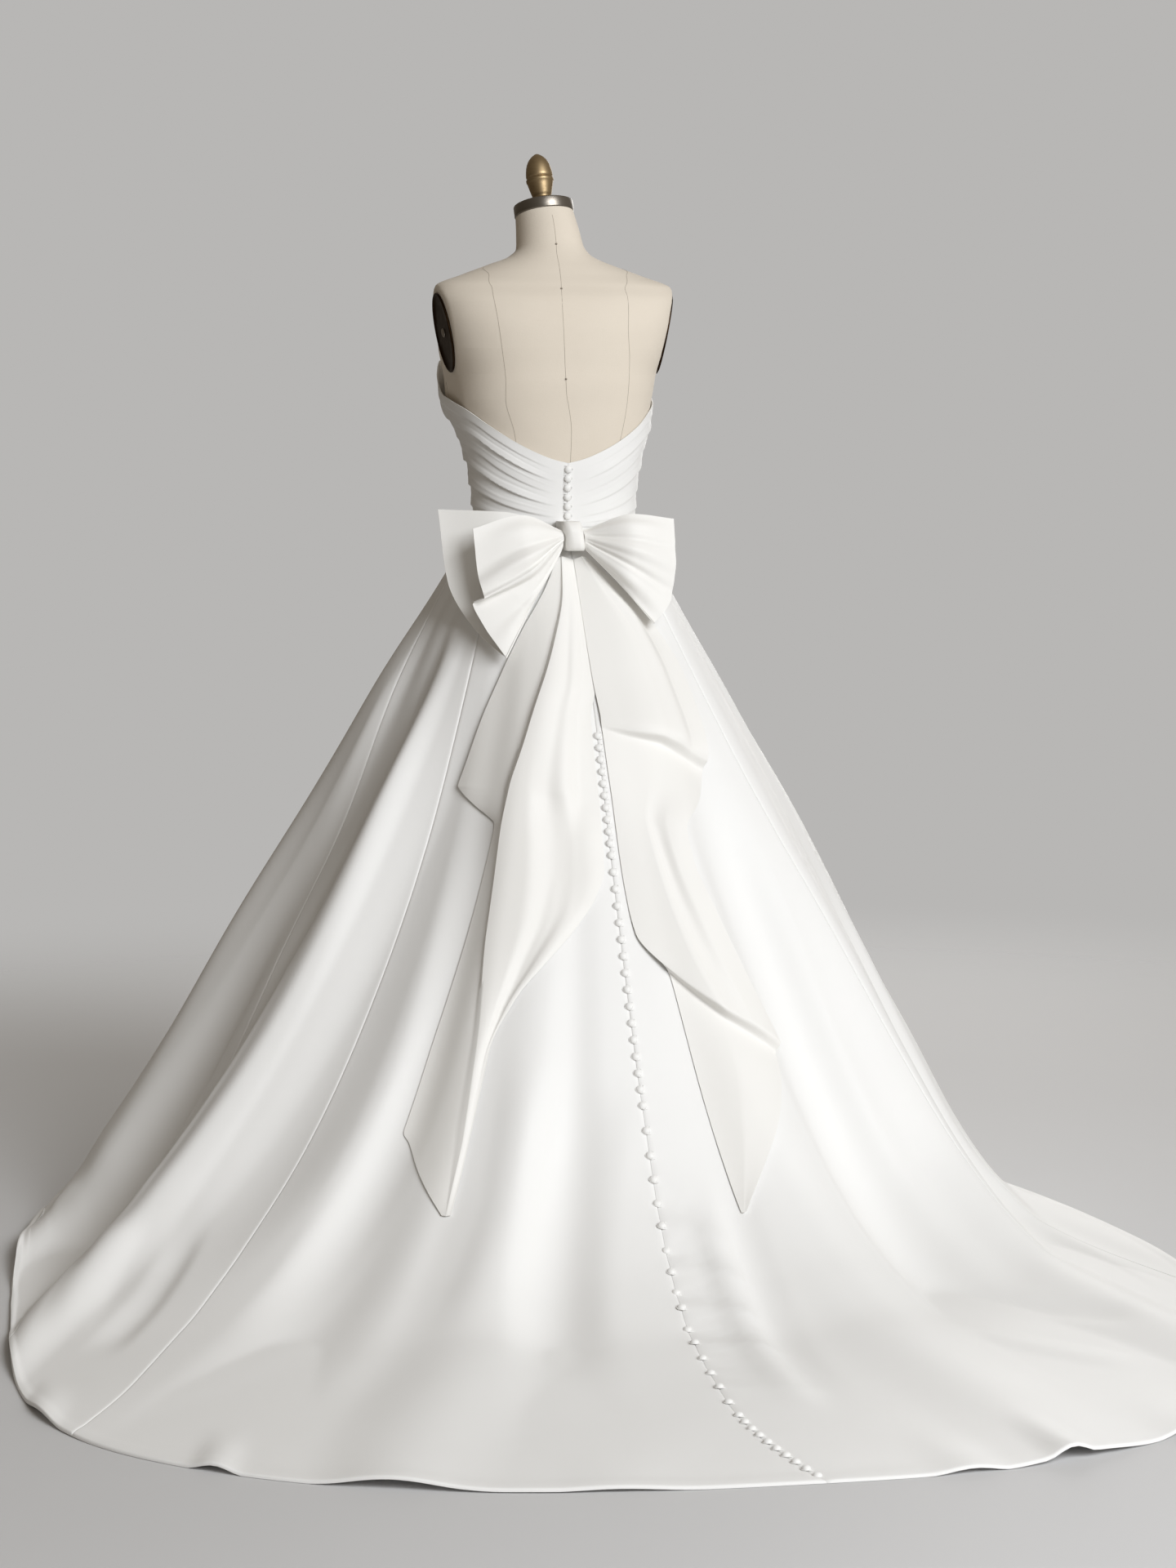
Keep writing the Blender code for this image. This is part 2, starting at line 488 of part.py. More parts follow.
def loop_grids(lines, stations, turns):
    """Cloth of a bow loop, drawn across its lines and out from the knot."""
    table = np.array(lines)
    shares = np.linspace(0.0, 1.0, stations)
    along = np.zeros((len(lines), stations, 3))
    for axis in range(3):
        for i, row in enumerate(table):
            along[i, :, axis] = smooth((0.0, 0.5, 1.0), row[axis::3], shares)
    places = np.linspace(0.0, 1.0, turns)
    line_places = np.linspace(0.0, 1.0, len(lines))
    face = np.zeros((turns, stations, 3))
    for axis in range(3):
        for j in range(stations):
            face[:, j, axis] = smooth(line_places, along[:, j, axis], places)
    normal = np.cross(np.gradient(face, axis=0), np.gradient(face, axis=1))
    normal = normal / np.linalg.norm(normal, axis=-1, keepdims=True)
    if normal[1, stations // 2, 1] < 0:
        normal = -normal
    return face, face - normal * WALL


def tail_grids(table, left_strips, right_strips):
    """Cloth of a bow tail over the skirt's facets, with its crease."""
    shares = [(i / left_strips * 0.92, "left") for i in range(left_strips + 1)]
    shares += [(i / right_strips, "right") for i in range(right_strips + 1)]
    outer = np.zeros((len(table), len(shares), 3))
    inner = np.zeros((len(table), len(shares), 3))
    for r, values in enumerate(table):
        row = dict(zip(TAIL_COLUMNS, values))
        for c, (share, part) in enumerate(shares):
            if part == "left":
                angle = row["left_angle"] + (row["crease_angle"] - row["left_angle"]) * share
                t = row["left_t"] + (row["crease_t"] - row["left_t"]) * share
                low = row["crease_lift"] - row["step"]
                lift = row["left_lift"] + (low - row["left_lift"]) * share / 0.92
            else:
                angle = row["crease_angle"] + (row["right_angle"] - row["crease_angle"]) * share
                t = row["crease_t"] + (row["right_t"] - row["crease_t"]) * share
                ease = share * share * (3 - 2 * share)
                lift = row["crease_lift"] + (row["right_lift"] - row["crease_lift"]) * ease
            outer[r, c] = on_skirt(angle, t, lift)
            inner[r, c] = on_skirt(angle, t, lift - WALL)
    return outer, inner


# ---------------------------------------------------------------- solids
def clear_scene():
    for item in list(bpy.data.objects):
        bpy.data.objects.remove(item, do_unlink=True)


def make_material(name, colour, roughness, metallic):
    material = bpy.data.materials.new(name)
    material.use_nodes = True
    shader = material.node_tree.nodes["Principled BSDF"]
    shader.inputs["Base Color"].default_value = (*colour, 1.0)
    shader.inputs["Roughness"].default_value = roughness
    shader.inputs["Metallic"].default_value = metallic
    return material


def signed_volume(points, faces):
    points = np.asarray(points)
    a, b, c = (points[[face[i] for face in faces]] for i in range(3))
    return float(np.einsum("ij,ij->i", a, np.cross(b, c)).sum()) / 6.0


def make_solid(name, points, faces, material):
    points = np.asarray(points, float)
    if signed_volume(points - points.mean(axis=0), faces) < 0:
        faces = [face[::-1] for face in faces]
    mesh = bpy.data.meshes.new(name)
    mesh.from_pydata([tuple(p) for p in points], [], faces)
    mesh.materials.append(material)
    mesh.shade_smooth()
    mesh.set_sharp_from_angle(angle=math.radians(40.0))
    item = bpy.data.objects.new(name, mesh)
    bpy.context.scene.collection.objects.link(item)
    return item


def shell(name, outer, inner, material):
    """Closed wall between two grids of points."""
    rows, cols = outer.shape[:2]
    points = np.concatenate([outer.reshape(-1, 3), inner.reshape(-1, 3)])
    half = rows * cols
    faces = []
    for r in range(rows - 1):
        for c in range(cols - 1):
            a = r * cols + c
            b = a + 1
            e = a + cols + 1
            d = a + cols
            faces += [(a, b, e), (a, e, d)]
            faces += [(half + e, half + b, half + a), (half + d, half + e, half + a)]
    border = [c for c in range(cols)]
    border += [r * cols + cols - 1 for r in range(1, rows)]
    border += [(rows - 1) * cols + c for c in range(cols - 2, -1, -1)]
    first_edge = len(border) - 1
    border += [r * cols for r in range(rows - 2, 0, -1)]
    for i, a in enumerate(border):
        b = border[(i + 1) % len(border)]
        if i < first_edge:
            faces += [(b, a, half + a), (b, half + a, half + b)]
        else:
            faces += [(b, a, half + b), (a, half + a, half + b)]
    return make_solid(name, points, faces, material)


def tube(name, rings, material):
    """Closed solid through rings of points, with its two ends filled."""
    rings = [np.asarray(ring, float) for ring in rings]
    size = len(rings[0])
    points = np.concatenate(rings + [rings[0].mean(axis=0)[None], rings[-1].mean(axis=0)[None]])
    faces = []
    for r in range(len(rings) - 1):
        for i in range(size):
            j = (i + 1) % size
            a = r * size + i
            b = r * size + j
            faces += [(a, b, b + size), (a, b + size, a + size)]
    last = (len(rings) - 1) * size
    for i in range(size):
        j = (i + 1) % size
        faces.append((j, i, len(points) - 2))
        faces.append((last + i, last + j, len(points) - 1))
    return make_solid(name, points, faces, material)


def turned(name, profile, origin, axis, sides, material, stretch=(1.0, 1.0)):
    """Solid of a profile turned about an axis; it starts and ends on the axis."""
    axis = np.asarray(axis, float) / np.linalg.norm(axis)
    helper = np.array([0.0, 1.0, 0.0]) if abs(axis[1]) < 0.9 else np.array([1.0, 0.0, 0.0])
    first = np.cross(helper, axis)
    first = first / np.linalg.norm(first)
    second = np.cross(axis, first)
    origin = np.asarray(origin, float)
    turns = np.arange(sides) * 2 * math.pi / sides
    points = [origin + axis * profile[0][1]]
    for radius, height in profile[1:-1]:
        for turn in turns:
            flat = first * math.cos(turn) * stretch[0] + second * math.sin(turn) * stretch[1]
            points.append(origin + flat * radius + axis * height)
    points.append(origin + axis * profile[-1][1])
    faces = []
    rings = len(profile) - 2
    for i in range(sides):
        j = (i + 1) % sides
        faces.append((0, 1 + j, 1 + i))
        for r in range(rings - 1):
            a = 1 + r * sides + i
            b = 1 + r * sides + j
            faces += [(a, b, b + sides), (a, b + sides, a + sides)]
        last = 1 + (rings - 1) * sides
        faces.append((last + i, last + j, len(points) - 1))
    return make_solid(name, points, faces, material)


# ---------------------------------------------------------------- pieces
def build_skirt(satin):
    for gore in GORE_ROWS:
        outer, inner = GORE_GRIDS[gore["name"]]
        shell(gore["name"], outer, inner, satin)


def build_bodice(satin):
    for name, start, end, strips in BODICE_PANELS:
        outer, inner = bodice_grids(start, end, strips)
        shell(name, outer, inner, satin)


def build_bodice_buttons(satin):
    profile = ((0.0, 0.0), (BUTTON_RADIUS, 0.0), (BUTTON_RADIUS, 0.0015),
               (0.7 * BUTTON_RADIUS, 0.8 * BUTTON_HEIGHT), (0.0, BUTTON_HEIGHT))
    for number, z in enumerate(BODICE_BUTTON_Z, 1):
        x, y, _ = torso_point(np.array(180.0), z, BODICE_GAP + WALL + 0.0007)
        slope = float(torso_point(np.array(180.0), z + 0.01)[1] - torso_point(np.array(180.0), z - 0.01)[1])
        turned(f"bodice_button_{number}", profile, (float(x), float(y), z), (0.0, 1.0, -slope / 0.02),
               10, satin)


def waist_surface(z):
    """How far back the gown's outer face lies at the centre back."""
    if z <= WAIST_Z:
        edge = GORE_GRIDS["skirt_back_left"][0][:, -1]
        return float(np.interp(-z, -edge[:, 2], edge[:, 1]))
    return float(torso_point(np.array(180.0), z, BODICE_GAP + WALL)[1])


def build_knot(satin):
    rings = []
    turns = np.linspace(0.0, 2 * math.pi, 16, endpoint=False)
    for values in KNOT:
        row = dict(zip(KNOT_COLUMNS, values))
        seat = waist_surface(row["z"]) + 0.0007
        middle = (row["front"] + seat) / 2
        depth = (row["front"] - seat) / 2
        x = KNOT_X + row["half"] * power(np.cos(turns), 0.55)
        y = middle + depth * power(np.sin(turns), 0.7)
        rings.append(np.stack([x, y, np.full(len(turns), row["z"])], -1))
    tube("bow_knot", rings, satin)


def build_bow(satin):
    build_knot(satin)
    shell("bow_loop_left", *loop_grids(LOOP_LEFT, 9, 21), satin)
    shell("bow_loop_right", *loop_grids(LOOP_RIGHT, 9, 15), satin)
    shell("bow_tail_left", *tail_grids(TAIL_LEFT, 3, 5), satin)
    shell("bow_tail_right", *tail_grids(TAIL_RIGHT, 4, 4), satin)


def button_places():
    places = []
    for values in BUTTON_RUNS:
        run = dict(zip(BUTTON_RUN_COLUMNS, values))
        step = (run["end"] - run["start"]) / run["count"]
        places += [run["start"] + step * i for i in range(run["count"])]
    return places


def build_button_tape(satin):
    """Narrow tape down the centre-back seam with its covered buttons in one piece."""
    rings = []
    for t in button_places():
        ends = np.array([t - 0.005, t + 0.005])
        here = skirt_surface(seam_angle("back", ends), ends)
        length = np.linalg.norm(here[1] - here[0]) / 0.01
        for move, height in ((-0.0066, TAPE_HEIGHT), (-0.0040, BUTTON_HEIGHT),
                             (0.0040, BUTTON_HEIGHT), (0.0066, TAPE_HEIGHT)):
            place = t + move / length
            seam = float(seam_angle("back", place))
            base = on_skirt(seam, place, 0.0)
            normal, side = across(skirt_surface, np.array(seam), np.array(place))
            rise = 0.0006
            ring = [base + normal * rise - side * TAPE_HALF,
                    base + normal * (rise + height * 0.85) - side * 0.0042,
                    base + normal * (rise + height),
                    base + normal * (rise + height * 0.85) + side * 0.0042,
                    base + normal * rise + side * TAPE_HALF]
            rings.append(ring)
    tube("skirt_button_tape", rings, satin)


def build_torso(linen):
    rings = []
    angles = np.arange(0.0, 360.0, TORSO_STEP)
    for z in column(TORSO, TORSO_COLUMNS, "z"):
        rings.append(place_torso(angles, z))
    tube("form_torso", rings, linen)


def build_arm_plates(dark):
    profile = ((0.0, 0.0), (1.0, 0.0), (1.0, 0.0030), (0.92, 0.0034), (0.88, 0.0016), (0.12, 0.0016),
               (0.10, 0.0034), (0.0, 0.0034))
    for name, side in (("form_arm_plate_left", 1.0), ("form_arm_plate_right", -1.0)):
        axis = np.array([side, PLATE_SLOPE[0], PLATE_SLOPE[1]])
        axis = axis / np.linalg.norm(axis)
        origin = np.array([side * PLATE_CENTRE[0], PLATE_CENTRE[1], PLATE_CENTRE[2]]) + axis * SEAM_GAP
        turned(name, profile, origin, axis, 20, dark, (PLATE_HALF[1], PLATE_HALF[0]))


def build_stand(steel, brass, iron):
    axis = np.array([NECK_LEAN[0], NECK_LEAN[1], 1.0])
    axis = axis / np.linalg.norm(axis)
    top = dict(zip(TORSO_COLUMNS, TORSO[-1]))
    neck = np.array([top["cx"], top["cy"], top["z"]]) + axis * SEAM_GAP
    turned("form_neck_ring", NECK_RING_PROFILE, neck, axis, 24, steel)
    seat = neck + axis * (NECK_RING_PROFILE[-1][1] + SEAM_GAP)
    turned("form_finial", FINIAL_PROFILE, seat, axis, 16, brass)
    turned("stand_base", BASE_PROFILE, (0.0, 0.0, 0.0), (0.0, 0.0, 1.0), 28, iron)
    bottom = BASE_PROFILE[-1][1] + SEAM_GAP
    pole = ((0.0, 0.0), (POLE_RADIUS, 0.0), (POLE_RADIUS, TORSO[0][0] - SEAM_GAP - bottom),
            (0.0, TORSO[0][0] - SEAM_GAP - bottom))
    turned("stand_pole", pole, (0.0, 0.0, bottom), (0.0, 0.0, 1.0), 16, steel)


def main():
    clear_scene()
    satin = make_material("ivory_satin", (0.86, 0.84, 0.79), 0.42, 0.0)
    linen = make_material("beige_linen", (0.56, 0.49, 0.41), 0.85, 0.0)
    dark = make_material("dark_metal", (0.07, 0.06, 0.055), 0.45, 0.8)
    steel = make_material("brushed_steel", (0.62, 0.62, 0.61), 0.30, 1.0)
    brass = make_material("antique_brass", (0.42, 0.30, 0.14), 0.35, 1.0)
    iron = make_material("black_iron", (0.05, 0.05, 0.05), 0.55, 0.6)
    build_skirt(satin)
    build_bodice(satin)
    build_bodice_buttons(satin)
    build_bow(satin)
    build_button_tape(satin)
    build_torso(linen)
    build_arm_plates(dark)
    build_stand(steel, brass, iron)


main()
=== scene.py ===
"""Looks of the strapless satin ball gown with its bow and train, on the limbless dress form.

Metres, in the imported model's frame: the stand's foot is the origin, the front faces -Y and the
train runs to +Y. Angles round the body are 0 at the front, 90 at the wearer's left (+X) and
180 at the centre back. A skirt place is an angle and t, the share of the cloth's length.
"""
import math

import bpy
import numpy as np
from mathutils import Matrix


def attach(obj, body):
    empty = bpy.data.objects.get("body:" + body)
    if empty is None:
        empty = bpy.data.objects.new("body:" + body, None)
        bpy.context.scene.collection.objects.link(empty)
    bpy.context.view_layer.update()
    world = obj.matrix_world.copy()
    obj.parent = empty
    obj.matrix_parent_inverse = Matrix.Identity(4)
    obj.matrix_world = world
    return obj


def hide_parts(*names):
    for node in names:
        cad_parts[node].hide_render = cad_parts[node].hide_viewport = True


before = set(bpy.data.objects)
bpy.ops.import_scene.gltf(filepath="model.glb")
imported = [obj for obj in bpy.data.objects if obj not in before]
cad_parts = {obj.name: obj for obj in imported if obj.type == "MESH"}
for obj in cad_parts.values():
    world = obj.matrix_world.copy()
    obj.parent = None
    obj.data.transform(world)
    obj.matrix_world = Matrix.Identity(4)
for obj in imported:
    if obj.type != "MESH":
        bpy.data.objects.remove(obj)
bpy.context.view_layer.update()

# ---------------------------------------------------------------- driving sizes
WALL = 0.002
BOW_WALL = 0.0018
TAIL_WALL = 0.0012
SEAM_GAP = 0.0004
FLOOR_GAP = 0.0005
WAIST_Z = 1.072
BODICE_GAP = 0.0016
BUTTON_RADIUS = 0.006
BUTTON_HEIGHT = 0.0045
CORD_RADIUS = 0.0006
POLE_RADIUS = 0.016
SEAM_DIP = 0.0012
SEAM_DIP_HALF = 0.0013
HEM_RISE = 0.0022
HEM_ROUND = 0.0035
HEM_BAND = 0.040
HEM_SOFT = 0.7 * HEM_BAND
ENDS_AND_MIDDLE = (0.0, 0.5, 1.0)

# How finely the meshes are divided. SEAM_STEPS are distances from a seam in metres. HEM_STEPS are
# distances from the hem on cloth CLOTH_LENGTH long, and on each gore they scale with its length.
SKIRT_ROWS = 128
SKIRT_ROWS_END = 0.975
HEM_STEPS = (0.030, 0.021, 0.014, 0.009, 0.006, 0.004, 0.0025, 0.0012, 0.0004, 0.0)
CLOTH_LENGTH = 1.6
SEAM_STEPS = (0.0, 0.0012, 0.0028, 0.0055, 0.0100)
LOOP_STATIONS = 56
LOOP_TURNS = 110
KNOT_LEVELS = 26
KNOT_TURNS = 72
SHOULDER_Z = 1.42
BODY_STEP = 0.010
SHOULDER_STEP = 0.004

# The camera stands behind the wearer, a little to the left, just above the bodice's back edge.
CAMERA_PLACE = (1.0274, 4.6891, 1.2)
CAMERA_DOWN = 6.466
CAMERA_TURN = 167.0
CAMERA_LENS = 68.66
# A large soft light from behind the wearer and a weak one in front. The camera sees a grey backdrop,
# and the object is lit by a warm surround that is brightest along SURROUND_WAY.
KEY_PLACE = (-1.9, 4.75, 3.35)
KEY_TARGET = (0.0, 0.4, 0.7)
KEY_SIZE = (3.0, 3.0)
KEY_WATTS = 258.0
KEY_COLOUR = (0.945, 0.970, 1.0)
FILL_PLACE = (-1.9, -4.7, 1.5)
FILL_TARGET = (0.0, 0.0, 0.9)
FILL_SIZE = (3.0, 3.0)
FILL_WATTS = 95.0
FILL_COLOUR = (1.0, 1.0, 1.0)
BACKDROP = (0.480, 0.472, 0.462)
SURROUND_LIGHT = (0.330, 0.304, 0.268)
SURROUND_DARK = (0.095, 0.077, 0.056)
SURROUND_WAY = (-0.85, 0.20, 0.49)
# The floor fades between these distances from a point 0.7 m behind the pole: FLOOR_SHIFT is added.
FLOOR_SHIFT = (0.0, -0.7, 0.0)
FLOOR_FADE = (1.8, 3.8)

# Form, bottom to top.
TORSO_COLUMNS = ("z", "half", "front", "back", "cx", "cy", "square", "tilt")
TORSO = (
    (0.8, 0.128, 0.088, 0.098, 0.0, 0.0, 2.2, 0.0),
    (0.83, 0.15, 0.102, 0.118, 0.0, 0.0, 2.2, 0.0),
    (0.89, 0.162, 0.108, 0.128, 0.0, 0.0, 2.2, 0.0),
    (0.95, 0.157, 0.106, 0.12, 0.0, 0.0, 2.2, 0.0),
    (1.01, 0.139, 0.1, 0.102, 0.0, 0.0, 2.2, 0.0),
    (1.072, 0.126, 0.096, 0.092, 0.0, 0.0, 2.2, 0.0),
    (1.12, 0.128, 0.096, 0.094, 0.0, -0.004, 2.2, 0.0),
    (1.17, 0.1345, 0.098, 0.104, -0.0015, -0.012, 2.3, 0.0),
    (1.22, 0.1485, 0.11, 0.117, -0.0025, -0.022, 2.4, 0.0),
    (1.27, 0.163, 0.114, 0.143, 0.001, -0.042, 2.6, 0.0),
    (1.31, 0.168, 0.108, 0.148, 0.0, -0.042, 2.6, 0.0),
    (1.35, 0.18, 0.1, 0.134, 0.0, -0.024, 2.5, 0.0),
    (1.395, 0.19, 0.09, 0.118, 0.0, -0.008, 2.4, 0.0),
    (1.43, 0.196, 0.08, 0.1, 0.0, -0.002, 2.2, 0.0),
    (1.449, 0.19, 0.066, 0.084, 0.0, -0.002, 2.0, 0.0),
    (1.467, 0.146, 0.056, 0.072, 0.001, -0.006, 1.9, 0.0),
    (1.483, 0.102, 0.052, 0.064, 0.002, -0.012, 1.9, 0.0),
    (1.497, 0.067, 0.052, 0.057, 0.003, -0.019, 2.0, 0.2),
    (1.511, 0.054, 0.052, 0.051, 0.002, -0.025, 2.0, 0.6),
    (1.535, 0.05, 0.05, 0.049, 0.0035, -0.033, 2.0, 1.0),
    (1.564, 0.046, 0.0475, 0.0455, 0.0065, -0.042, 2.0, 1.0),
)
NECK_LEAN = (0.08, -0.24)
PLATE_CENTRE = (0.177, 0.003, 1.376)
PLATE_SLOPE = (0.12, -0.2)
PLATE_HALF = (0.038, 0.063)

# Stitched seams of the form's cover, as angle and height along each, and whether the other side
# has the same seam mirrored.
FORM_SEAMS = (
    (((180, 1.55), (179.5, 1.508), (178, 1.442), (179.5, 1.302), (181, 1.18), (180, 0.82)),
     False),
    (((0, 1.55), (0, 1.49), (0, 1.35), (0, 1.18), (0, 0.82)), False),
    (((100, 1.479), (130, 1.466), (145, 1.44), (149, 1.385), (150.5, 1.3), (149.5, 1.21),
      (149, 1.05), (150, 0.82)), False),
    (((262, 1.479), (228, 1.466), (209, 1.44), (206.5, 1.385), (211.5, 1.3), (213, 1.21),
      (211, 1.05), (210, 0.82)), False),
    (((58, 1.472), (44, 1.44), (38, 1.385), (37, 1.3), (35, 1.21), (33, 1.05),
      (34, 0.82)), True),
    (((90, 1.511), (90, 1.49), (90, 1.468), (90, 1.446)), True),
    (((90, 1.3), (90, 1.2), (90, 1), (90, 0.82)), True),
)
SEAM_THREAD = 0.00032
PINS = ((179.5, 1.508), (178, 1.442), (179.5, 1.302))

# Skirt rings, waist to hem: t is the share of the cloth's length.
SKIRT_COLUMNS = ("t", "z_front", "z_side", "z_back", "y_front", "y_wide", "y_back", "left",
                 "right", "square_front", "square_back", "gather_front", "bulge", "skew")
SKIRT = (
    (0, 1.072, 1.072, 1.072, -0.1, 0, 0.096, 0.13, 0.13, 2.2, 2.2, 0, 0, 0),
    (0.06, 0.975, 0.97, 0.965, -0.15, 0.005, 0.17, 0.18, 0.182, 2.1, 2.1, 0, 0.012, 0),
    (0.16, 0.82, 0.81, 0.79, -0.23, 0.015, 0.285, 0.262, 0.27, 2, 2, 0.05, 0.034, 0),
    (0.27, 0.645, 0.63, 0.6, -0.31, 0.03, 0.385, 0.358, 0.372, 2, 2, 0.1, 0.046, 0),
    (0.38, 0.46, 0.44, 0.42, -0.39, 0.06, 0.485, 0.46, 0.466, 2, 2.1, 0.17, 0.06, 0),
    (0.49, 0.3, 0.26, 0.25, -0.455, 0.1, 0.59, 0.575, 0.545, 2, 2.2, 0.25, 0.05, 0),
    (0.58, 0.2, 0.13, 0.13, -0.49, 0.15, 0.69, 0.68, 0.6, 2, 2.3, 0.32, 0.038, 0),
    (0.66, 0.14, 0.055, 0.05, -0.512, 0.22, 0.82, 0.765, 0.635, 2, 2.4, 0.38, 0.012, -0.02),
    (0.74, 0.095, 0.018, 0.012, -0.52, 0.31, 0.96, 0.838, 0.67, 2, 2.4, 0.43, -0.01, -0.04),
    (0.86, 0.045, 0.005, 0.003, -0.525, 0.46, 1.21, 0.92, 0.73, 2, 2.55, 0.48, -0.05, -0.06),
    (1, 0.0025, 0.0025, 0.0025, -0.53, 0.6, 1.475, 0.995, 0.78, 2, 2.6, 0.5, -0.1, -0.07),
)
BULGE_ANGLE = 84
BULGE_HALF = 50

# Vertical seams of the skirt: angle at the waist, at mid length, low down and at the hem.
SEAM_PLACES = (0, 0.5, 0.86, 1)
SEAMS = {
    "front_right": (-45, -45, -43, -42),
    "front_left": (45, 45, 43, 42),
    "side_left": (96, 104, 100, 98),
    "side_back_left": (134, 131.5, 128.5, 125),
    "back": (180, 180, 179.1, 180),
    "side_back_right": (226, 230, 239, 244),
    "side_right": (264, 258, 260, 262),
}
GORE_COLUMNS = ("name", "from_seam", "to_seam", "strips")
GORES = (
    ("skirt_front", "front_right", "front_left", 84),
    ("skirt_side_front_left", "front_left", "side_left", 64),
    ("skirt_side_back_left", "side_left", "side_back_left", 52),
    ("skirt_back_left", "side_back_left", "back", 84),
    ("skirt_back_right", "back", "side_back_right", 84),
    ("skirt_side_back_right", "side_back_right", "side_right", 48),
    ("skirt_side_front_right", "side_right", "front_right", 64),
)

# Skirt folds: angle at the waist, mid length and hem, half width in degrees, and how far the
# cloth stands out (+) or in (-) at a third of its length, at two thirds and at the hem.
FOLD_COLUMNS = ("waist", "middle", "hem", "half", "third", "low", "end")
FOLDS = (
    (0, 0, 0, 17, 0.012, 0.03, 0.014),
    (24, 22, 20, 11, -0.01, -0.022, 0),
    (46, 44, 40, 14, 0.012, 0.026, 0.012),
    (66, 64, 60, 10, -0.008, -0.02, 0),
    (86, 82, 78, 12, 0.01, 0.022, 0.014),
    (107, 97, 91, 9, -0.026, -0.036, -0.002),
    (123, 112, 101, 9, 0.022, 0.032, 0.01),
    (149, 148, 136, 9, -0.01, -0.022, 0),
    (165, 165, 156, 8, 0.004, 0.014, 0.01),
    (173, 171, 168, 5, -0.002, -0.008, 0),
    (196, 196, 199, 9, 0.006, 0.016, 0.008),
    (211, 211, 220, 11, -0.016, -0.028, 0),
    (231, 231, 236, 11, 0.012, 0.024, 0.016),
    (250, 249, 252, 9, -0.01, -0.02, 0),
    (272, 274, 270, 12, 0.01, 0.014, 0.006),
    (294, 296, 296, 10, -0.008, -0.02, 0),
    (314, 316, 318, 13, 0.012, 0.026, 0.014),
    (337, 338, 340, 10, -0.01, -0.022, 0),
)

# Creases of the skirt, each a path through three places. The half widths are on the side of
# smaller and of larger angle, and a ridge has a depth over 0.
CREASE_COLUMNS = ("angle_1", "t_1", "angle_2", "t_2", "angle_3", "t_3", "before", "after", "depth")
CREASES = (
    (123.5, 0.05, 119, 0.38, 109.5, 0.74, 0.034, 0.1, 0.02),
    (114.5, 0.05, 110, 0.38, 101, 0.78, 0.1, 0.056, -0.032),
    (92, 0.1, 92.5, 0.48, 94, 0.88, 0.09, 0.09, -0.02),
    (135, 0.08, 132, 0.4, 122, 0.7, 0.1, 0.11, -0.018),
    (148, 0.24, 147, 0.47, 137, 0.76, 0.045, 0.055, -0.006),
    (165, 0.42, 165, 0.56, 160, 0.74, 0.05, 0.06, 0.005),
    (172, 0.44, 170, 0.6, 168.5, 0.8, 0.07, 0.09, -0.015),
    (212, 0.16, 210.5, 0.46, 217, 0.84, 0.075, 0.08, -0.018),
    (198, 0.46, 199, 0.62, 203, 0.82, 0.05, 0.06, 0.005),
    (229, 0.2, 230, 0.48, 237, 0.8, 0.08, 0.06, 0.01),
    (103, 0.58, 100, 0.7, 101, 0.84, 0.06, 0.034, -0.008),
    (86, 0.62, 84, 0.72, 86, 0.84, 0.035, 0.04, 0.005),
    (79, 0.62, 80, 0.73, 83, 0.86, 0.035, 0.03, -0.008),
    (110, 0.62, 110, 0.72, 111, 0.86, 0.035, 0.05, 0.009),
    (120, 0.6, 122, 0.71, 121, 0.84, 0.04, 0.03, -0.008),
    (184.5, 0.56, 183.2, 0.7, 181.8, 0.9, 0.03, 0.04, 0.008),
    (188, 0.54, 186.5, 0.68, 184, 0.86, 0.03, 0.045, -0.007),
    (250, 0.3, 250, 0.52, 254, 0.74, 0.04, 0.05, -0.007),
    (264, 0.4, 262, 0.58, 261, 0.78, 0.035, 0.04, 0.007),
    (256, 0.62, 252, 0.75, 246, 0.86, 0.03, 0.04, -0.006),
    (214, 0.71, 224, 0.78, 232, 0.86, 0.03, 0.045, -0.006),
    (206, 0.72, 214, 0.82, 222, 0.9, 0.04, 0.05, 0.005),
    (24, 0.14, 22.5, 0.45, 21, 0.88, 0.045, 0.06, -0.008),
    (338, 0.18, 338, 0.5, 340, 0.9, 0.055, 0.04, -0.009),
    (2, 0.24, 1, 0.52, 0, 0.86, 0.065, 0.055, 0.007),
    (46, 0.16, 44, 0.42, 41, 0.8, 0.05, 0.065, 0.007),
    (65, 0.2, 63, 0.5, 61, 0.86, 0.05, 0.045, -0.008),
    (295, 0.16, 296, 0.46, 296, 0.84, 0.045, 0.05, -0.008),
    (315, 0.22, 316, 0.5, 318, 0.82, 0.06, 0.05, 0.007),
    (274, 0.18, 274, 0.44, 271, 0.8, 0.05, 0.06, 0.006),
    (12, 0.05, 13, 0.16, 13, 0.34, 0.022, 0.03, -0.003),
    (352, 0.04, 350, 0.14, 349, 0.3, 0.028, 0.02, -0.003),
    (112, 0.03, 108, 0.1, 104, 0.24, 0.02, 0.026, 0.003),
    (252, 0.03, 255, 0.1, 257, 0.22, 0.024, 0.02, 0.003),
)

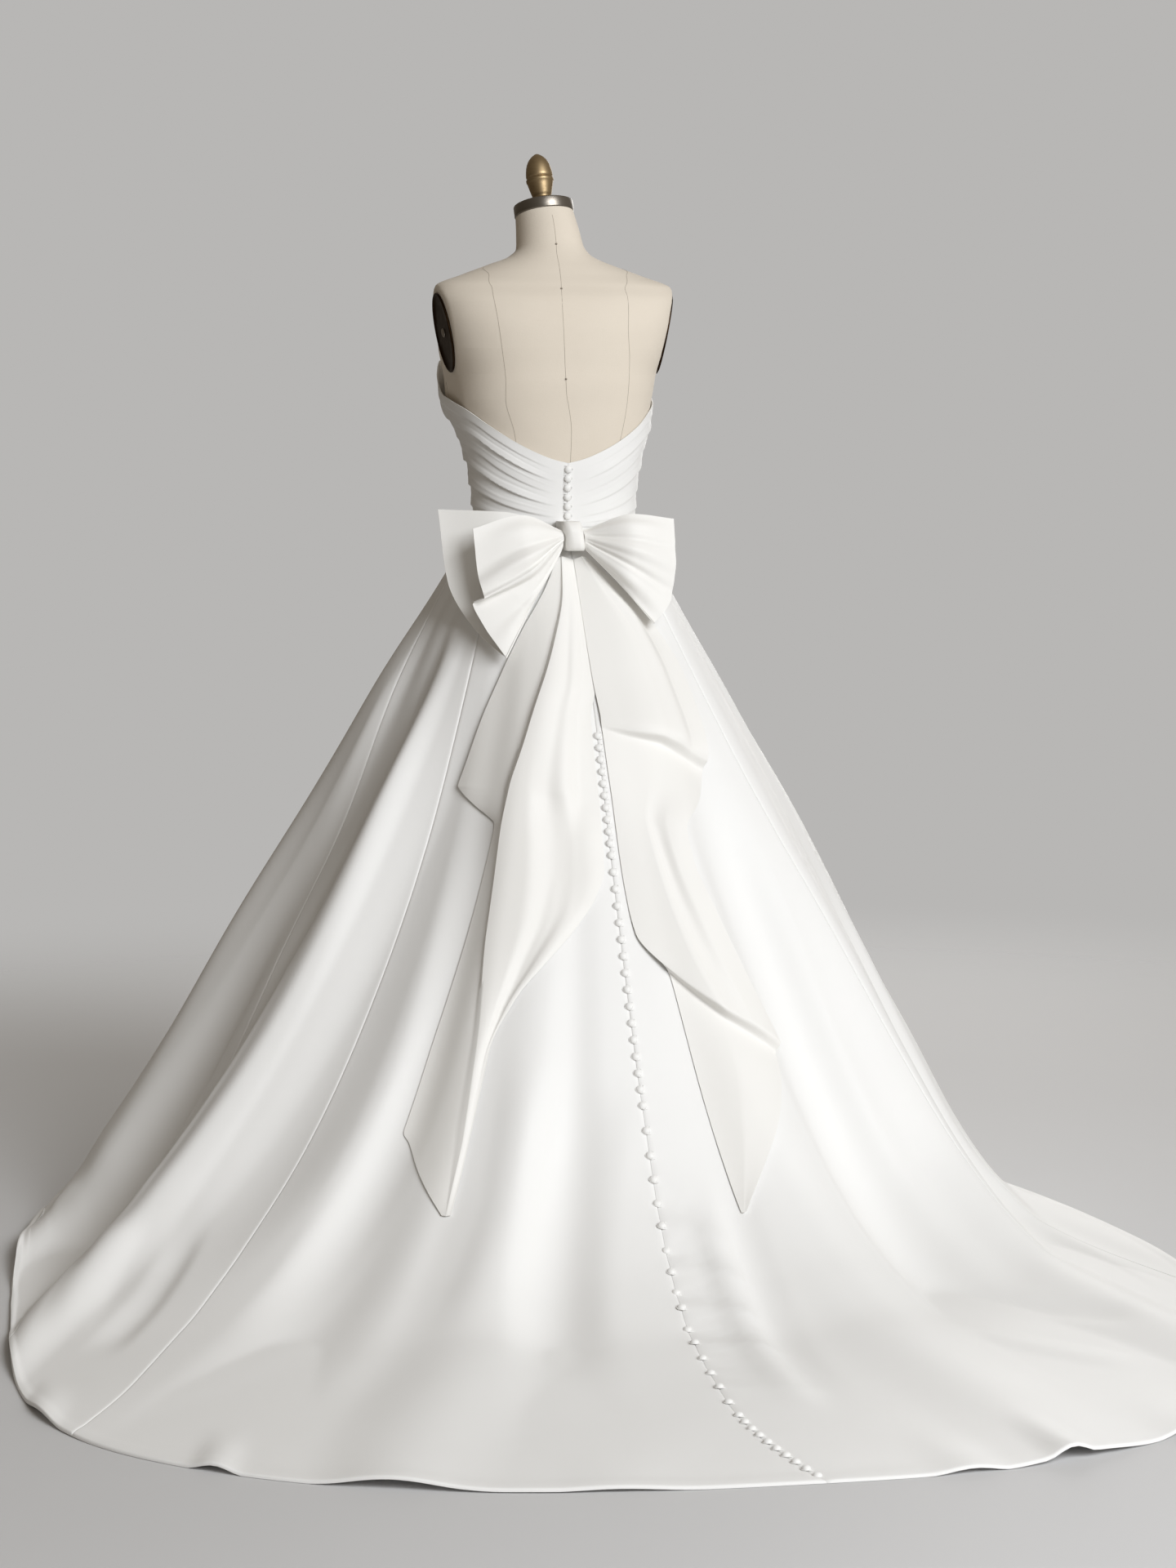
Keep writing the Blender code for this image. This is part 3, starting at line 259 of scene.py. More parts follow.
# Puckers that leave the centre-back seam: t, reach in degrees, half width and depth.
PUCKER_COLUMNS = ("t", "reach", "half", "depth")
PUCKERS = (
    (0.548, 3, 0.012, 0.002),
    (0.572, 4.5, 0.012, -0.0026),
    (0.594, 5.5, 0.014, 0.0046),
    (0.616, 3.6, 0.012, -0.004),
    (0.636, 6, 0.015, 0.0052),
    (0.662, 4, 0.012, -0.0046),
    (0.684, 5.4, 0.016, 0.0054),
    (0.712, 3.4, 0.014, -0.0044),
    (0.738, 5, 0.018, 0.0052),
    (0.772, 3.6, 0.016, -0.003),
    (0.812, 4.6, 0.018, 0.0034),
    (0.846, 3, 0.016, -0.0026),
    (0.9, 3.2, 0.016, 0.0024),
)

# Waves where the hem lifts off the floor: angle, half width in degrees and height.
HEM_WAVE_COLUMNS = ("angle", "half", "height")
HEM_WAVES = (
    (118, 5, 0.007),
    (141.5, 2.6, 0.008),
    (156, 5, 0.003),
    (171, 4, 0.003),
    (188.5, 3.2, 0.006),
    (197.5, 2.6, 0.01),
    (214, 6, 0.008),
    (236, 7, 0.01),
    (83, 5, 0.008),
    (302, 8, 0.006),
    (52, 8, 0.006),
)

# Bodice: height of the top edge and how far the cups stand off the form, by angle.
NECKLINE_COLUMNS = ("angle", "z_top", "stand_off")
NECKLINE = (
    (0, 1.275, 0.002),
    (25, 1.31, 0.006),
    (45, 1.335, 0.012),
    (56, 1.336, 0.014),
    (66, 1.315, 0.012),
    (76, 1.295, 0.007),
    (90, 1.277, 0.002),
    (100, 1.269, 0),
    (115, 1.257, 0),
    (135, 1.226, 0),
    (155, 1.197, 0),
    (172, 1.178, 0),
    (180, 1.172, 0),
)
BODICE_PANELS = (
    ("bodice_front", -60, 60, 96),
    ("bodice_side_left", 60, 82.5, 24),
    ("bodice_back_left", 82.5, 180, 88),
    ("bodice_back_right", 180, 277.5, 88),
    ("bodice_side_right", 277.5, 300, 24),
)
BODICE_ROWS = 120
# Pleats of the bodice: share of the panel's height at the side and at the centre, and depth.
PLEAT_COLUMNS = ("side", "centre", "depth")
PLEATS = (
    (0.16, 0.06, 0.003),
    (0.32, 0.15, 0.0036),
    (0.5, 0.32, 0.0045),
    (0.66, 0.5, 0.002),
    (0.8, 0.68, 0.004),
    (0.92, 0.86, 0.0014),
)
# Small ripples between the pleats: the same shares, half width as a share, and depth.
RIPPLE_COLUMNS = ("side", "centre", "half", "depth")
RIPPLES = (
    (0.1, 0.04, 0.02, 0.0004),
    (0.24, 0.11, 0.026, -0.0005),
    (0.39, 0.22, 0.022, 0.0005),
    (0.57, 0.41, 0.026, -0.0006),
    (0.74, 0.6, 0.02, 0.0005),
    (0.87, 0.77, 0.022, -0.0004),
)
BODICE_BUTTON_Z = (1.162, 1.1475, 1.133, 1.1185, 1.104, 1.0895)

# Bow loops: lines across each loop, from the knot, through the middle, to the open end.
LINE_COLUMNS = ("knot_x", "knot_y", "knot_z", "mid_x", "mid_y", "mid_z", "end_x", "end_y", "end_z")
LOOP_LEFT = (
    (0.0197, 0.148, 1.068, 0.09, 0.172, 1.093, 0.167, 0.18, 1.073),
    (0.0197, 0.158, 1.06, 0.092, 0.196, 1.04, 0.161, 0.188, 1.004),
    (0.0197, 0.159, 1.054, 0.086, 0.206, 1.004, 0.155, 0.208, 0.968),
    (0.0197, 0.155, 1.05, 0.084, 0.195, 0.992, 0.17, 0.193, 0.958),
    (0.0197, 0.154, 1.045, 0.078, 0.194, 0.978, 0.153, 0.204, 0.922),
    (0.0197, 0.149, 1.041, 0.07, 0.187, 0.965, 0.124, 0.226, 0.877),
    (0.0197, 0.143, 1.048, 0.088, 0.166, 0.985, 0.152, 0.18, 0.905),
    (0.0197, 0.138, 1.058, 0.108, 0.145, 1.035, 0.196, 0.126, 0.988),
    (0.0197, 0.134, 1.068, 0.11, 0.134, 1.097, 0.208, 0.108, 1.101),
)
LOOP_RIGHT = (
    (-0.0137, 0.148, 1.068, -0.085, 0.173, 1.094, -0.155, 0.162, 1.086),
    (-0.0137, 0.158, 1.06, -0.086, 0.196, 1.05, -0.154, 0.178, 1.032),
    (-0.0137, 0.159, 1.05, -0.08, 0.2, 1.008, -0.145, 0.19, 0.966),
    (-0.0137, 0.151, 1.041, -0.064, 0.186, 0.984, -0.112, 0.206, 0.926),
    (-0.0137, 0.144, 1.048, -0.078, 0.161, 1.003, -0.134, 0.164, 0.95),
    (-0.0137, 0.138, 1.058, -0.09, 0.143, 1.045, -0.151, 0.124, 1.02),
    (-0.0137, 0.134, 1.068, -0.09, 0.134, 1.09, -0.15, 0.112, 1.082),
)
# Folds that fan out from the knot: place across the loop, half width as a share, and depth at
# the knot, half way and at the end.
LOOP_FOLD_COLUMNS = ("place", "half", "knot", "middle", "end")
LOOP_FOLDS_LEFT = (
    (0.05, 0.04, 0.003, 0.004, 0.001),
    (0.11, 0.026, -0.003, -0.004, 0),
    (0.165, 0.034, 0.003, 0.005, 0.002),
    (0.215, 0.024, -0.003, -0.0045, -0.002),
    (0.56, 0.04, 0.0025, 0.0035, 0.001),
    (0.715, 0.03, 0.002, 0.003, 0),
    (0.82, 0.038, -0.002, -0.003, 0),
    (0.925, 0.03, 0.002, 0.0025, 0),
)
LOOP_FOLDS_RIGHT = (
    (0.06, 0.04, 0.0025, 0.003, 0),
    (0.14, 0.03, -0.003, -0.004, -0.001),
    (0.21, 0.045, 0.003, 0.0045, 0.0015),
    (0.31, 0.035, -0.003, -0.0045, -0.002),
    (0.4, 0.05, 0.0025, 0.004, 0.002),
    (0.6, 0.04, 0.002, 0.002, 0),
    (0.78, 0.05, -0.002, -0.003, 0),
    (0.91, 0.04, 0.002, 0.0025, 0),
)
# Knot: half its width and how far back it reaches, by height. It seats on the gown by KNOT_GAP.
KNOT_COLUMNS = ("z", "half", "front")
KNOT = (
    (1.037, 0.0142, 0.161),
    (1.042, 0.0156, 0.166),
    (1.052, 0.016, 0.168),
    (1.065, 0.0162, 0.168),
    (1.076, 0.0164, 0.164),
    (1.082, 0.0156, 0.158),
)
KNOT_GAP = 0.0007
KNOT_X = 0.003
KNOT_SKEW = 0.14

# Bow tails on the skirt. Each row gives the left edge, the crease and the right edge as angle
# and share of the skirt's length, and the height of each above the skirt.
TAIL_COLUMNS = ("left_angle", "left_t", "crease_angle", "crease_t", "right_angle", "right_t",
                "left_lift", "crease_lift", "right_lift", "step")
TAIL_LEFT = (
    (171.5, 0.0285, 174, 0.0285, 181.5, 0.0285, 0.01, 0.012, 0.002, 0.002),
    (164.5, 0.055, 172.5, 0.06, 181.8, 0.06, 0.007, 0.017, 0.002, 0.006),
    (155, 0.087, 168.3, 0.095, 182, 0.095, 0.006, 0.022, 0.002, 0.01),
    (147, 0.125, 164.2, 0.13, 181.8, 0.13, 0.006, 0.025, 0.002, 0.012),
    (142, 0.165, 160.8, 0.16, 178.4, 0.165, 0.006, 0.027, 0.002, 0.014),
    (139.4, 0.203, 157.2, 0.2, 178.4, 0.2, 0.006, 0.027, 0.002, 0.014),
    (138.2, 0.2235, 155.7, 0.2225, 178.5, 0.224, 0.006, 0.0255, 0.002, 0.013),
    (138.9, 0.2262, 155.4, 0.231, 178.5, 0.232, 0.005, 0.0248, 0.002, 0.0122),
    (145, 0.2385, 155, 0.242, 178.4, 0.242, 0.004, 0.0235, 0.002, 0.011),
    (151.2, 0.2515, 154.6, 0.255, 178.4, 0.255, 0.003, 0.0218, 0.002, 0.0092),
    (151.3, 0.257, 154.4, 0.266, 178.3, 0.264, 0.0025, 0.0202, 0.002, 0.008),
    (150.4, 0.29, 154.2, 0.292, 178, 0.288, 0.0022, 0.017, 0.002, 0.0066),
    (149.2, 0.34, 154.4, 0.34, 175.5, 0.312, 0.0022, 0.015, 0.002, 0.006),
    (148, 0.395, 155.2, 0.385, 167.5, 0.358, 0.0022, 0.014, 0.002, 0.006),
    (147.3, 0.435, 156, 0.425, 161, 0.4, 0.0022, 0.013, 0.003, 0.0055),
    (147, 0.47, 156.4, 0.465, 158.2, 0.44, 0.0022, 0.0115, 0.005, 0.005),
    (146.8, 0.503, 156.8, 0.503, 157.9, 0.498, 0.0022, 0.01, 0.006, 0.0045),
    (148.4, 0.515, 157, 0.52, 157.9, 0.515, 0.0022, 0.009, 0.006, 0.004),
    (152.6, 0.549, 157.1, 0.552, 157.9, 0.55, 0.003, 0.007, 0.004, 0.003),
    (156.6, 0.583, 157.2, 0.584, 157.8, 0.583, 0.003, 0.004, 0.003, 0),
)
TAIL_RIGHT = (
    (180.3, 0.0285, 183.5, 0.0285, 187, 0.0285, 0.0045, 0.012, 0.008, 0.002),
    (180.4, 0.06, 191, 0.057, 200, 0.05, 0.004, 0.014, 0.006, 0),
    (180.5, 0.095, 198, 0.09, 213, 0.08, 0.004, 0.016, 0.006, 0),
    (180.8, 0.13, 201, 0.135, 219, 0.127, 0.004, 0.018, 0.01, 0),
    (181.6, 0.16, 200, 0.176, 215.2, 0.196, 0.005, 0.024, 0.026, 0),
    (181.6, 0.167, 199.5, 0.184, 214, 0.207, 0.0035, 0.021, 0.022, 0),
    (181.7, 0.172, 199, 0.188, 212.8, 0.213, 0.0021, 0.0045, 0.009, 0),
    (181.8, 0.2, 195, 0.217, 206.8, 0.235, 0.0021, 0.005, 0.016, 0),
    (182, 0.235, 190.5, 0.25, 198.6, 0.261, 0.0021, 0.008, 0.016, 0),
    (182, 0.275, 191, 0.283, 198, 0.291, 0.0021, 0.012, 0.016, 0),
    (182.2, 0.312, 191.8, 0.323, 199.2, 0.331, 0.0021, 0.015, 0.018, 0),
    (182.8, 0.342, 193, 0.366, 201, 0.389, 0.004, 0.018, 0.018, 0),
    (186.6, 0.37, 194.8, 0.414, 203, 0.446, 0.009, 0.02, 0.02, 0),
    (187.6, 0.377, 195, 0.422, 202.8, 0.454, 0.0021, 0.004, 0.006, 0),
    (188.1, 0.435, 194.8, 0.464, 201.5, 0.476, 0.0021, 0.009, 0.008, 0),
    (188.3, 0.5, 192.8, 0.516, 197, 0.521, 0.0021, 0.008, 0.008, 0),
    (188.6, 0.59, 188.9, 0.591, 189.3, 0.59, 0.003, 0.004, 0.005, 0),
)
# Soft folds along a tail: first and last row, place across from crease to right edge at each
# end, half width as a share, and height.
TAIL_FOLD_COLUMNS = ("first", "last", "place_1", "place_2", "half", "height")
TAIL_FOLDS_LEFT = (
    (0, 9, 0.52, 0.62, 0.2, 0.005),
    (4, 16, 0.36, 0.6, 0.22, -0.007),
    (7, 15, 0.8, 0.9, 0.22, 0.004),
)
TAIL_FOLDS_RIGHT = (
    (0, 6, 0.3, 0.35, 0.25, 0.004),
    (7, 13, 0.15, 0.25, 0.3, -0.004),
)
TAIL_STRIPS = (14, 30)
TAIL_FINE = 9

# Covered buttons down the skirt: how many, from where to where.
BUTTON_RUN_COLUMNS = ("count", "start", "end")
BUTTON_RUNS = (
    (10, 0.176, 0.275),
    (15, 0.275, 0.487),
    (9, 0.487, 0.687),
    (7, 0.687, 0.868),
    (10, 0.868, 1.003),
)

# Turned metal pieces: radius and height of each ring.
NECK_RING_PROFILE = ((0.0, 0.0), (0.046, 0.0), (0.0472, 0.0006), (0.0476, 0.0016),
                     (0.0476, 0.016), (0.0472, 0.0172), (0.046, 0.0178), (0.0, 0.018))
FINIAL_PROFILE = ((0.0, 0.0), (0.015, 0.0), (0.0158, 0.001), (0.0158, 0.008), (0.015, 0.0093),
                  (0.0138, 0.0101), (0.0137, 0.0112), (0.0156, 0.0135), (0.0164, 0.0165),
                  (0.0181, 0.023), (0.0199, 0.0305), (0.0209, 0.0348), (0.0219, 0.0362),
                  (0.022, 0.0396), (0.021, 0.0408), (0.0198, 0.0416), (0.0206, 0.0428),
                  (0.0214, 0.0445), (0.0213, 0.048), (0.0206, 0.0535), (0.0195, 0.0595),
                  (0.0178, 0.0648), (0.0154, 0.0698), (0.0125, 0.0738), (0.0095, 0.0768),
                  (0.007, 0.0787), (0.0048, 0.0803), (0.0024, 0.0816), (0.0, 0.082))
BASE_PROFILE = ((0.0, 0.0), (0.183, 0.0), (0.188, 0.0012), (0.19, 0.0042), (0.189, 0.0078),
                (0.185, 0.0102), (0.16, 0.013), (0.12, 0.018), (0.07, 0.0215),
                (0.034, 0.0245), (0.028, 0.026), (0.0, 0.026))
PLATE_PROFILE = ((0.0, 0.0), (0.985, 0.0), (1.0, 0.0008), (1.0, 0.0026), (0.985, 0.0033),
                 (0.955, 0.0034), (0.935, 0.0026), (0.915, 0.0016), (0.6, 0.0014),
                 (0.16, 0.0016), (0.0, 0.0016))
SCREW_PROFILE = ((0.0, 0.0), (0.007, 0.0), (0.0072, 0.0006), (0.0066, 0.0015), (0.003, 0.0019),
                 (0.0, 0.0019))


# ---------------------------------------------------------------- curves and surfaces
def column(table, names, name):
    """One column of a table as numbers."""
    place = names.index(name)
    return np.array([row[place] for row in table], float)


def rows_of(table, names):
    """The rows of a table, each value under its column's name."""
    return [dict(zip(names, row)) for row in table]


def smooth(xs, ys, x):
    """A curve through the rows that never overshoots them (monotone cubic)."""
    xs = np.asarray(xs, float)
    ys = np.asarray(ys, float)
    x = np.clip(np.asarray(x, float), xs[0], xs[-1])
    step = np.diff(xs)
    slope = np.diff(ys) / step
    tangent = np.zeros(len(xs))
    tangent[0] = slope[0]
    tangent[-1] = slope[-1]
    for i in range(1, len(xs) - 1):
        if slope[i - 1] * slope[i] > 0:
            tangent[i] = 2 * slope[i - 1] * slope[i] / (slope[i - 1] + slope[i])
    k = np.clip(np.searchsorted(xs, x, side="right") - 1, 0, len(xs) - 2)
    s = (x - xs[k]) / step[k]
    start = (1 + 2 * s) * (1 - s) ** 2 * ys[k] + s * (1 - s) ** 2 * step[k] * tangent[k]
    end = s * s * (3 - 2 * s) * ys[k + 1] + s * s * (s - 1) * step[k] * tangent[k + 1]
    return start + end


def row_at(table, names, place):
    """Each further column of a table as a smooth value at a place along its first column."""
    keys = column(table, names, names[0])
    return {name: smooth(keys, column(table, names, name), place) for name in names[1:]}


def ease(value):
    """0 to 1 with a soft start and end."""
    value = np.clip(value, 0.0, 1.0)
    return value * value * (3 - 2 * value)


def bell(away):
    """1 at 0 and softly down to 0 at 1."""
    return (1 - np.clip(np.abs(away), 0.0, 1.0) ** 2) ** 2


def power(value, exponent):
    """Power that keeps the sign."""
    return np.sign(value) * np.abs(value) ** exponent


def angle_gap(angle, centre):
    """Signed angle from centre, in degrees."""
    return (angle - centre + 180.0) % 360.0 - 180.0


def unit(vectors):
    return vectors / np.maximum(np.linalg.norm(vectors, axis=-1, keepdims=True), 1e-12)


def section(angle, row):
    """Point of a form section, with its own front and back depth."""
    sine = np.sin(np.radians(angle))
    cosine = np.cos(np.radians(angle))
    depth = np.where(cosine > 0, row["front"], row["back"])
    x = row["cx"] + row["half"] * power(sine, 2 / row["square"])
    y = row["cy"] - depth * power(cosine, 2 / row["square"])
    return x, y


def torso_point(angle, z, out=0.0):
    """Point of the form's surface, moved out in plan."""
    z = np.asarray(z, float)
    row = row_at(TORSO, TORSO_COLUMNS, z)
    x, y = section(angle, row)
    x_before, y_before = section(angle - 2.0, row)
    x_after, y_after = section(angle + 2.0, row)
    along_x = x_after - x_before
    along_y = y_after - y_before
    size = np.hypot(along_x, along_y)
    x = x + out * along_y / size
    y = y - out * along_x / size
    return x, y, row


def plate_x(y, z):
    """Distance of the flat arm plate from the middle plane."""
    return PLATE_CENTRE[0] - PLATE_SLOPE[0] * (y - PLATE_CENTRE[1]) - PLATE_SLOPE[1] * (z - PLATE_CENTRE[2])


def place_torso(angle, z):
    """Point of the form's surface with the neck's lean and the flat arm sides."""
    x, y, row = torso_point(angle, z)
    lean = NECK_LEAN[1] * (y - row["cy"]) + NECK_LEAN[0] * (x - row["cx"])
    height = z - row["tilt"] * lean
    for side in (1.0, -1.0):
        limit = plate_x(y, height)
        x = np.where(side * x > limit, side * limit, x)
    return np.stack([x, y, height], -1)


def skirt_base(angle, t):
    """Smooth skirt before its folds."""
    t = np.asarray(t, float)
    v = row_at(SKIRT, SKIRT_COLUMNS, t)
    turn = (angle + 180.0) % 360.0 - 180.0
    gathered = np.sign(turn) * 90.0 * (np.minimum(np.abs(turn), 90.0) / 90.0) ** (1.0 + v["gather_front"])
    turn = np.where(np.abs(turn) < 90.0, gathered, turn)
    sine = np.sin(np.radians(turn))
    cosine = np.cos(np.radians(turn))
    front = cosine > 0
    square = np.where(front, v["square_front"], v["square_back"])
    half = np.where(sine > 0, v["left"], v["right"])
    depth = np.where(front, v["y_wide"] - v["y_front"], v["y_back"] - v["y_wide"])
    ends = np.where(front, v["z_front"], v["z_back"])
    x = half * power(sine, 2 / square)
    y = v["y_wide"] - depth * power(cosine, 2 / square)
    z = ends * cosine ** 2 + v["z_side"] * sine ** 2
    away = np.minimum(np.abs(turn - BULGE_ANGLE) / BULGE_HALF, 1.0)
    x = x + v["bulge"] * (0.5 + 0.5 * np.cos(np.pi * away))
    y = y + v["skew"] * x
    return np.stack([x, y, z], -1)


def fold_height(angle, t):
    """How far the folds carry the cloth out of the smooth skirt."""
    total = np.zeros(np.broadcast(angle, t).shape)
    for fold in rows_of(FOLDS, FOLD_COLUMNS):
        centre = smooth(ENDS_AND_MIDDLE, (fold["waist"], fold["middle"], fold["hem"]), t)
        reach = smooth((0.0, 0.06, 0.33, 0.62, 0.82, 1.0),
                       (0.0, 0.1 * fold["third"], fold["third"], fold["low"],
                        0.5 * (fold["low"] + fold["end"]), fold["end"]), t)
        away = np.abs(angle_gap(angle, centre)) / fold["half"]
        total = total + reach * np.where(away < 1, 0.5 + 0.5 * np.cos(np.pi * np.minimum(away, 1)), 0)
    return total


def across(surface, angle, t):
    """Outward normal and the unit direction of growing angle on a skirt surface."""
    t_low = np.clip(t - 0.006, 0.0, 1.0)
    t_high = np.clip(t + 0.006, 0.0, 1.0)
    round_way = surface(angle + 0.8, t) - surface(angle - 0.8, t)
    down_way = surface(angle, t_high) - surface(angle, t_low)
    return unit(np.cross(down_way, round_way)), unit(round_way)


def skirt_folded(angle, t):
    """Outer face of the skirt with its folds, never under the floor."""
    normal, _ = across(skirt_base, angle, t)
    point = skirt_base(angle, t) + normal * fold_height(angle, t)[..., None]
    point[..., 2] = np.maximum(point[..., 2], FLOOR_GAP + WALL)
    return point


def path_height(point, normal, path, before, after, depth):
    """Height of one crease at each point: a bell across its path, fading at both ends."""
    height = np.zeros(len(point))
    reach = max(before, after)
    inside = np.all((point > path.min(axis=0) - reach) & (point < path.max(axis=0) + reach), axis=1)
    if not inside.any():
        return height
    near = point[inside]
    best = np.full(len(near), 1e9)
    side = np.zeros(len(near))
    along = np.zeros(len(near))
    for k in range(len(path) - 1):
        run = path[k + 1] - path[k]
        share = np.clip(((near - path[k]) @ run) / (run @ run), 0.0, 1.0)
        gap = near - path[k] - share[:, None] * run
        distance = np.linalg.norm(gap, axis=1)
        closer = distance < best
        best = np.where(closer, distance, best)
        turn = np.einsum("ij,ij->i", np.cross(run, normal[inside]), gap)
        side = np.where(closer, turn, side)
        along = np.where(closer, (k + share) / (len(path) - 1), along)
    half = np.where(side > 0, before, after)
    fade = ease(along / 0.3) * ease((1 - along) / 0.3)
    height[inside] = depth * bell(best / half) * fade
    return height


def crease_height(angle, t, point, normal):
    """Height that the creases, puckers and a slight unevenness add to the skirt."""
    shape = point.shape[:-1]
    flat = point.reshape(-1, 3)
    up = normal.reshape(-1, 3)
    total = np.zeros(len(flat))
    for row in rows_of(CREASES, CREASE_COLUMNS):
        share = np.linspace(0.0, 1.0, 19)
        angles = smooth(ENDS_AND_MIDDLE, (row["angle_1"], row["angle_2"], row["angle_3"]), share)
        places = smooth(ENDS_AND_MIDDLE, (row["t_1"], row["t_2"], row["t_3"]), share)
        path = skirt_folded(angles, places)
        total += path_height(flat, up, path, row["before"], row["after"], row["depth"])
    for row in rows_of(PUCKERS, PUCKER_COLUMNS):
        share = np.linspace(0.0, 1.0, 7)
        angles = seam_angle("back", row["t"]) - 1.0 + (row["reach"] + 2.0) * share
        path = skirt_folded(angles, row["t"] + 0.030 * share ** 1.5)
        total += path_height(flat, up, path, row["half"], row["half"], row["depth"])
    total = total.reshape(shape)
    x, y, z = point[..., 0], point[..., 1], point[..., 2]
    calm = ease(np.asarray(t) / 0.2)
    total = total + calm * 0.0010 * np.sin(9.0 * x + 4.0 * z + 1.3 * np.sin(7.0 * y + 2.0))
    total = total + calm * 0.0007 * np.sin(17.0 * y - 11.0 * x + 6.0 * z)
    return total


def hem_lift(angle, t):
    """How far the hem's waves lift it off the floor."""
    total = np.zeros(np.broadcast(angle, t).shape)
    for row in rows_of(HEM_WAVES, HEM_WAVE_COLUMNS):
        away = angle_gap(angle, row["angle"]) / row["half"]
        total = total + row["height"] * bell(away) * ease((np.asarray(t) - 0.90) / 0.10)
    return total


def skirt_surface(angle, t):
    """Outer face of the skirt with folds, creases and hem waves, and its normal."""
    normal, _ = across(skirt_folded, angle, t)
    point = skirt_folded(angle, t)
    point = point + normal * crease_height(angle, t, point, normal)[..., None]
    point[..., 2] = np.maximum(point[..., 2], FLOOR_GAP + WALL) + hem_lift(angle, t)
    return point, normal


def seam_angle(name, t):
    """Angle of a skirt seam at t."""
    return smooth(SEAM_PLACES, SEAMS[name], t)


def gore_angles(gore, t):
    """Angles of a gore's two seams, the second one always larger."""
    start = seam_angle(gore["from_seam"], t)
    end = seam_angle(gore["to_seam"], t)
    if np.max(end) < np.min(start):
        end = end + 360.0
    return start, end


def gore_shares(width, strips):
    """Places across a gore, close together at its two seams."""
    edge = np.array(SEAM_STEPS)
    shares = np.zeros((len(width), strips + 1))
    for r, size in enumerate(width):
        near = edge / size
        middle = np.linspace(near[-1], 1 - near[-1], strips + 3 - 2 * len(edge))
        shares[r] = np.concatenate([near[:-1], middle, 1 - near[:-1][::-1]])
    return shares


def gore_grids(gore):
    """Outer and inner points of one gore: seams turned in, hem rolled under."""
    hem = 1.0 - np.array(HEM_STEPS) / CLOTH_LENGTH
    rows = np.concatenate([np.linspace(0.0, SKIRT_ROWS_END, SKIRT_ROWS), hem])[:, None]
    start, end = gore_angles(gore, rows)
    ruler = skirt_base(start + (end - start) * np.linspace(0.0, 1.0, 13)[None, :], rows)
    width = np.linalg.norm(np.diff(ruler, axis=1), axis=-1).sum(axis=1)
    share = gore_shares(width, gore["strips"])
    angle = start + (end - start) * share
    t = rows + 0.0 * share
    outer, normal = skirt_surface(angle, t)
    _, round_way = across(skirt_folded, angle, t)
    to_seam = np.minimum(share, 1 - share) * width[:, None]
    to_hem = np.linalg.norm(outer - outer[-1:], axis=-1)
    inner = outer - normal * WALL
    outer = outer + normal * (HEM_RISE * ease((HEM_BAND - to_hem) / HEM_SOFT))[..., None]
    outer = outer - normal * (SEAM_DIP * np.exp(-(to_seam / SEAM_DIP_HALF) ** 2))[..., None]
    rounding = np.clip(1 - to_hem / HEM_ROUND, 0.0, 1.0)
    rounding = np.maximum(np.sqrt(1 - rounding ** 2), 0.12)[..., None]
    outer = inner + (outer - inner) * rounding
    for grid in (outer, inner):
        grid[:, 0] += round_way[:, 0] * SEAM_GAP / 2
        grid[:, -1] -= round_way[:, -1] * SEAM_GAP / 2
    inner[..., 2] = np.maximum(inner[..., 2], FLOOR_GAP)
    outer[..., 2] = np.maximum(outer[..., 2], inner[..., 2] + 0.0004)
    return outer, inner


def bodice_rise(angle, share):
    """How far the pleats and ripples of the bodice stand out."""
    away = np.clip(np.abs(np.abs(angle) % 180.0 - 90.0) / 80.0, 0.0, 1.0)
    calm = ease((np.abs(180.0 - angle % 360.0) - 4.0) / 34.0)
    calm = calm * (1.0 - 0.70 * bell(angle_gap(angle, 222.0) / 62.0))
    pleats = rows_of(PLEATS, PLEAT_COLUMNS)
    places = [pleat["side"] + (pleat["centre"] - pleat["side"]) * away for pleat in pleats]
    places.append(np.ones_like(places[0]))
    total = np.zeros(np.broadcast(angle, share).shape)
    for k, pleat in enumerate(pleats):
        up = ease((share - places[k] + 0.016) / 0.024)
        fall = np.clip((share - places[k] - 0.008) / (places[k + 1] - places[k] - 0.016), 0.0, 1.0)
        total = total + pleat["depth"] * up * (1 - fall) ** 1.25 * (share < places[k + 1])
    for ripple in rows_of(RIPPLES, RIPPLE_COLUMNS):
        place = ripple["side"] + (ripple["centre"] - ripple["side"]) * away
        wander = 0.010 * np.sin(np.radians(angle * 5.0 + 90.0 * ripple["side"]))
        total = total + ripple["depth"] * bell((share - place - wander) / ripple["half"])
    return np.maximum(total, 0.0) * calm


def bodice_grids(start, end, strips):
    """Outer and inner points of one bodice panel."""
    angle = np.linspace(start, end, strips + 1)[None, :]
    share = np.linspace(0.0, 1.0, BODICE_ROWS)[:, None]
    neckline = row_at(NECKLINE, NECKLINE_COLUMNS, np.abs(angle_gap(angle, 0.0)))
    bottom = WAIST_Z + SEAM_GAP
    z = bottom + (neckline["z_top"] - bottom) * share
    ramp = np.clip((share - 0.35) / 0.65, 0.0, 1.0) ** 1.5
    angle = angle + 0.0 * share
    grids = []
    for out in (WALL + bodice_rise(angle, share), 0.0):
        x, y, _ = torso_point(angle, z, BODICE_GAP + neckline["stand_off"] * ramp + out)
        grids.append(np.stack([x, y, z], -1))
    for grid in grids:
        for edge, toward in ((0, 1), (-1, -2)):
            grid[:, edge] += unit(grid[:, toward] - grid[:, edge]) * SEAM_GAP / 2
    return grids


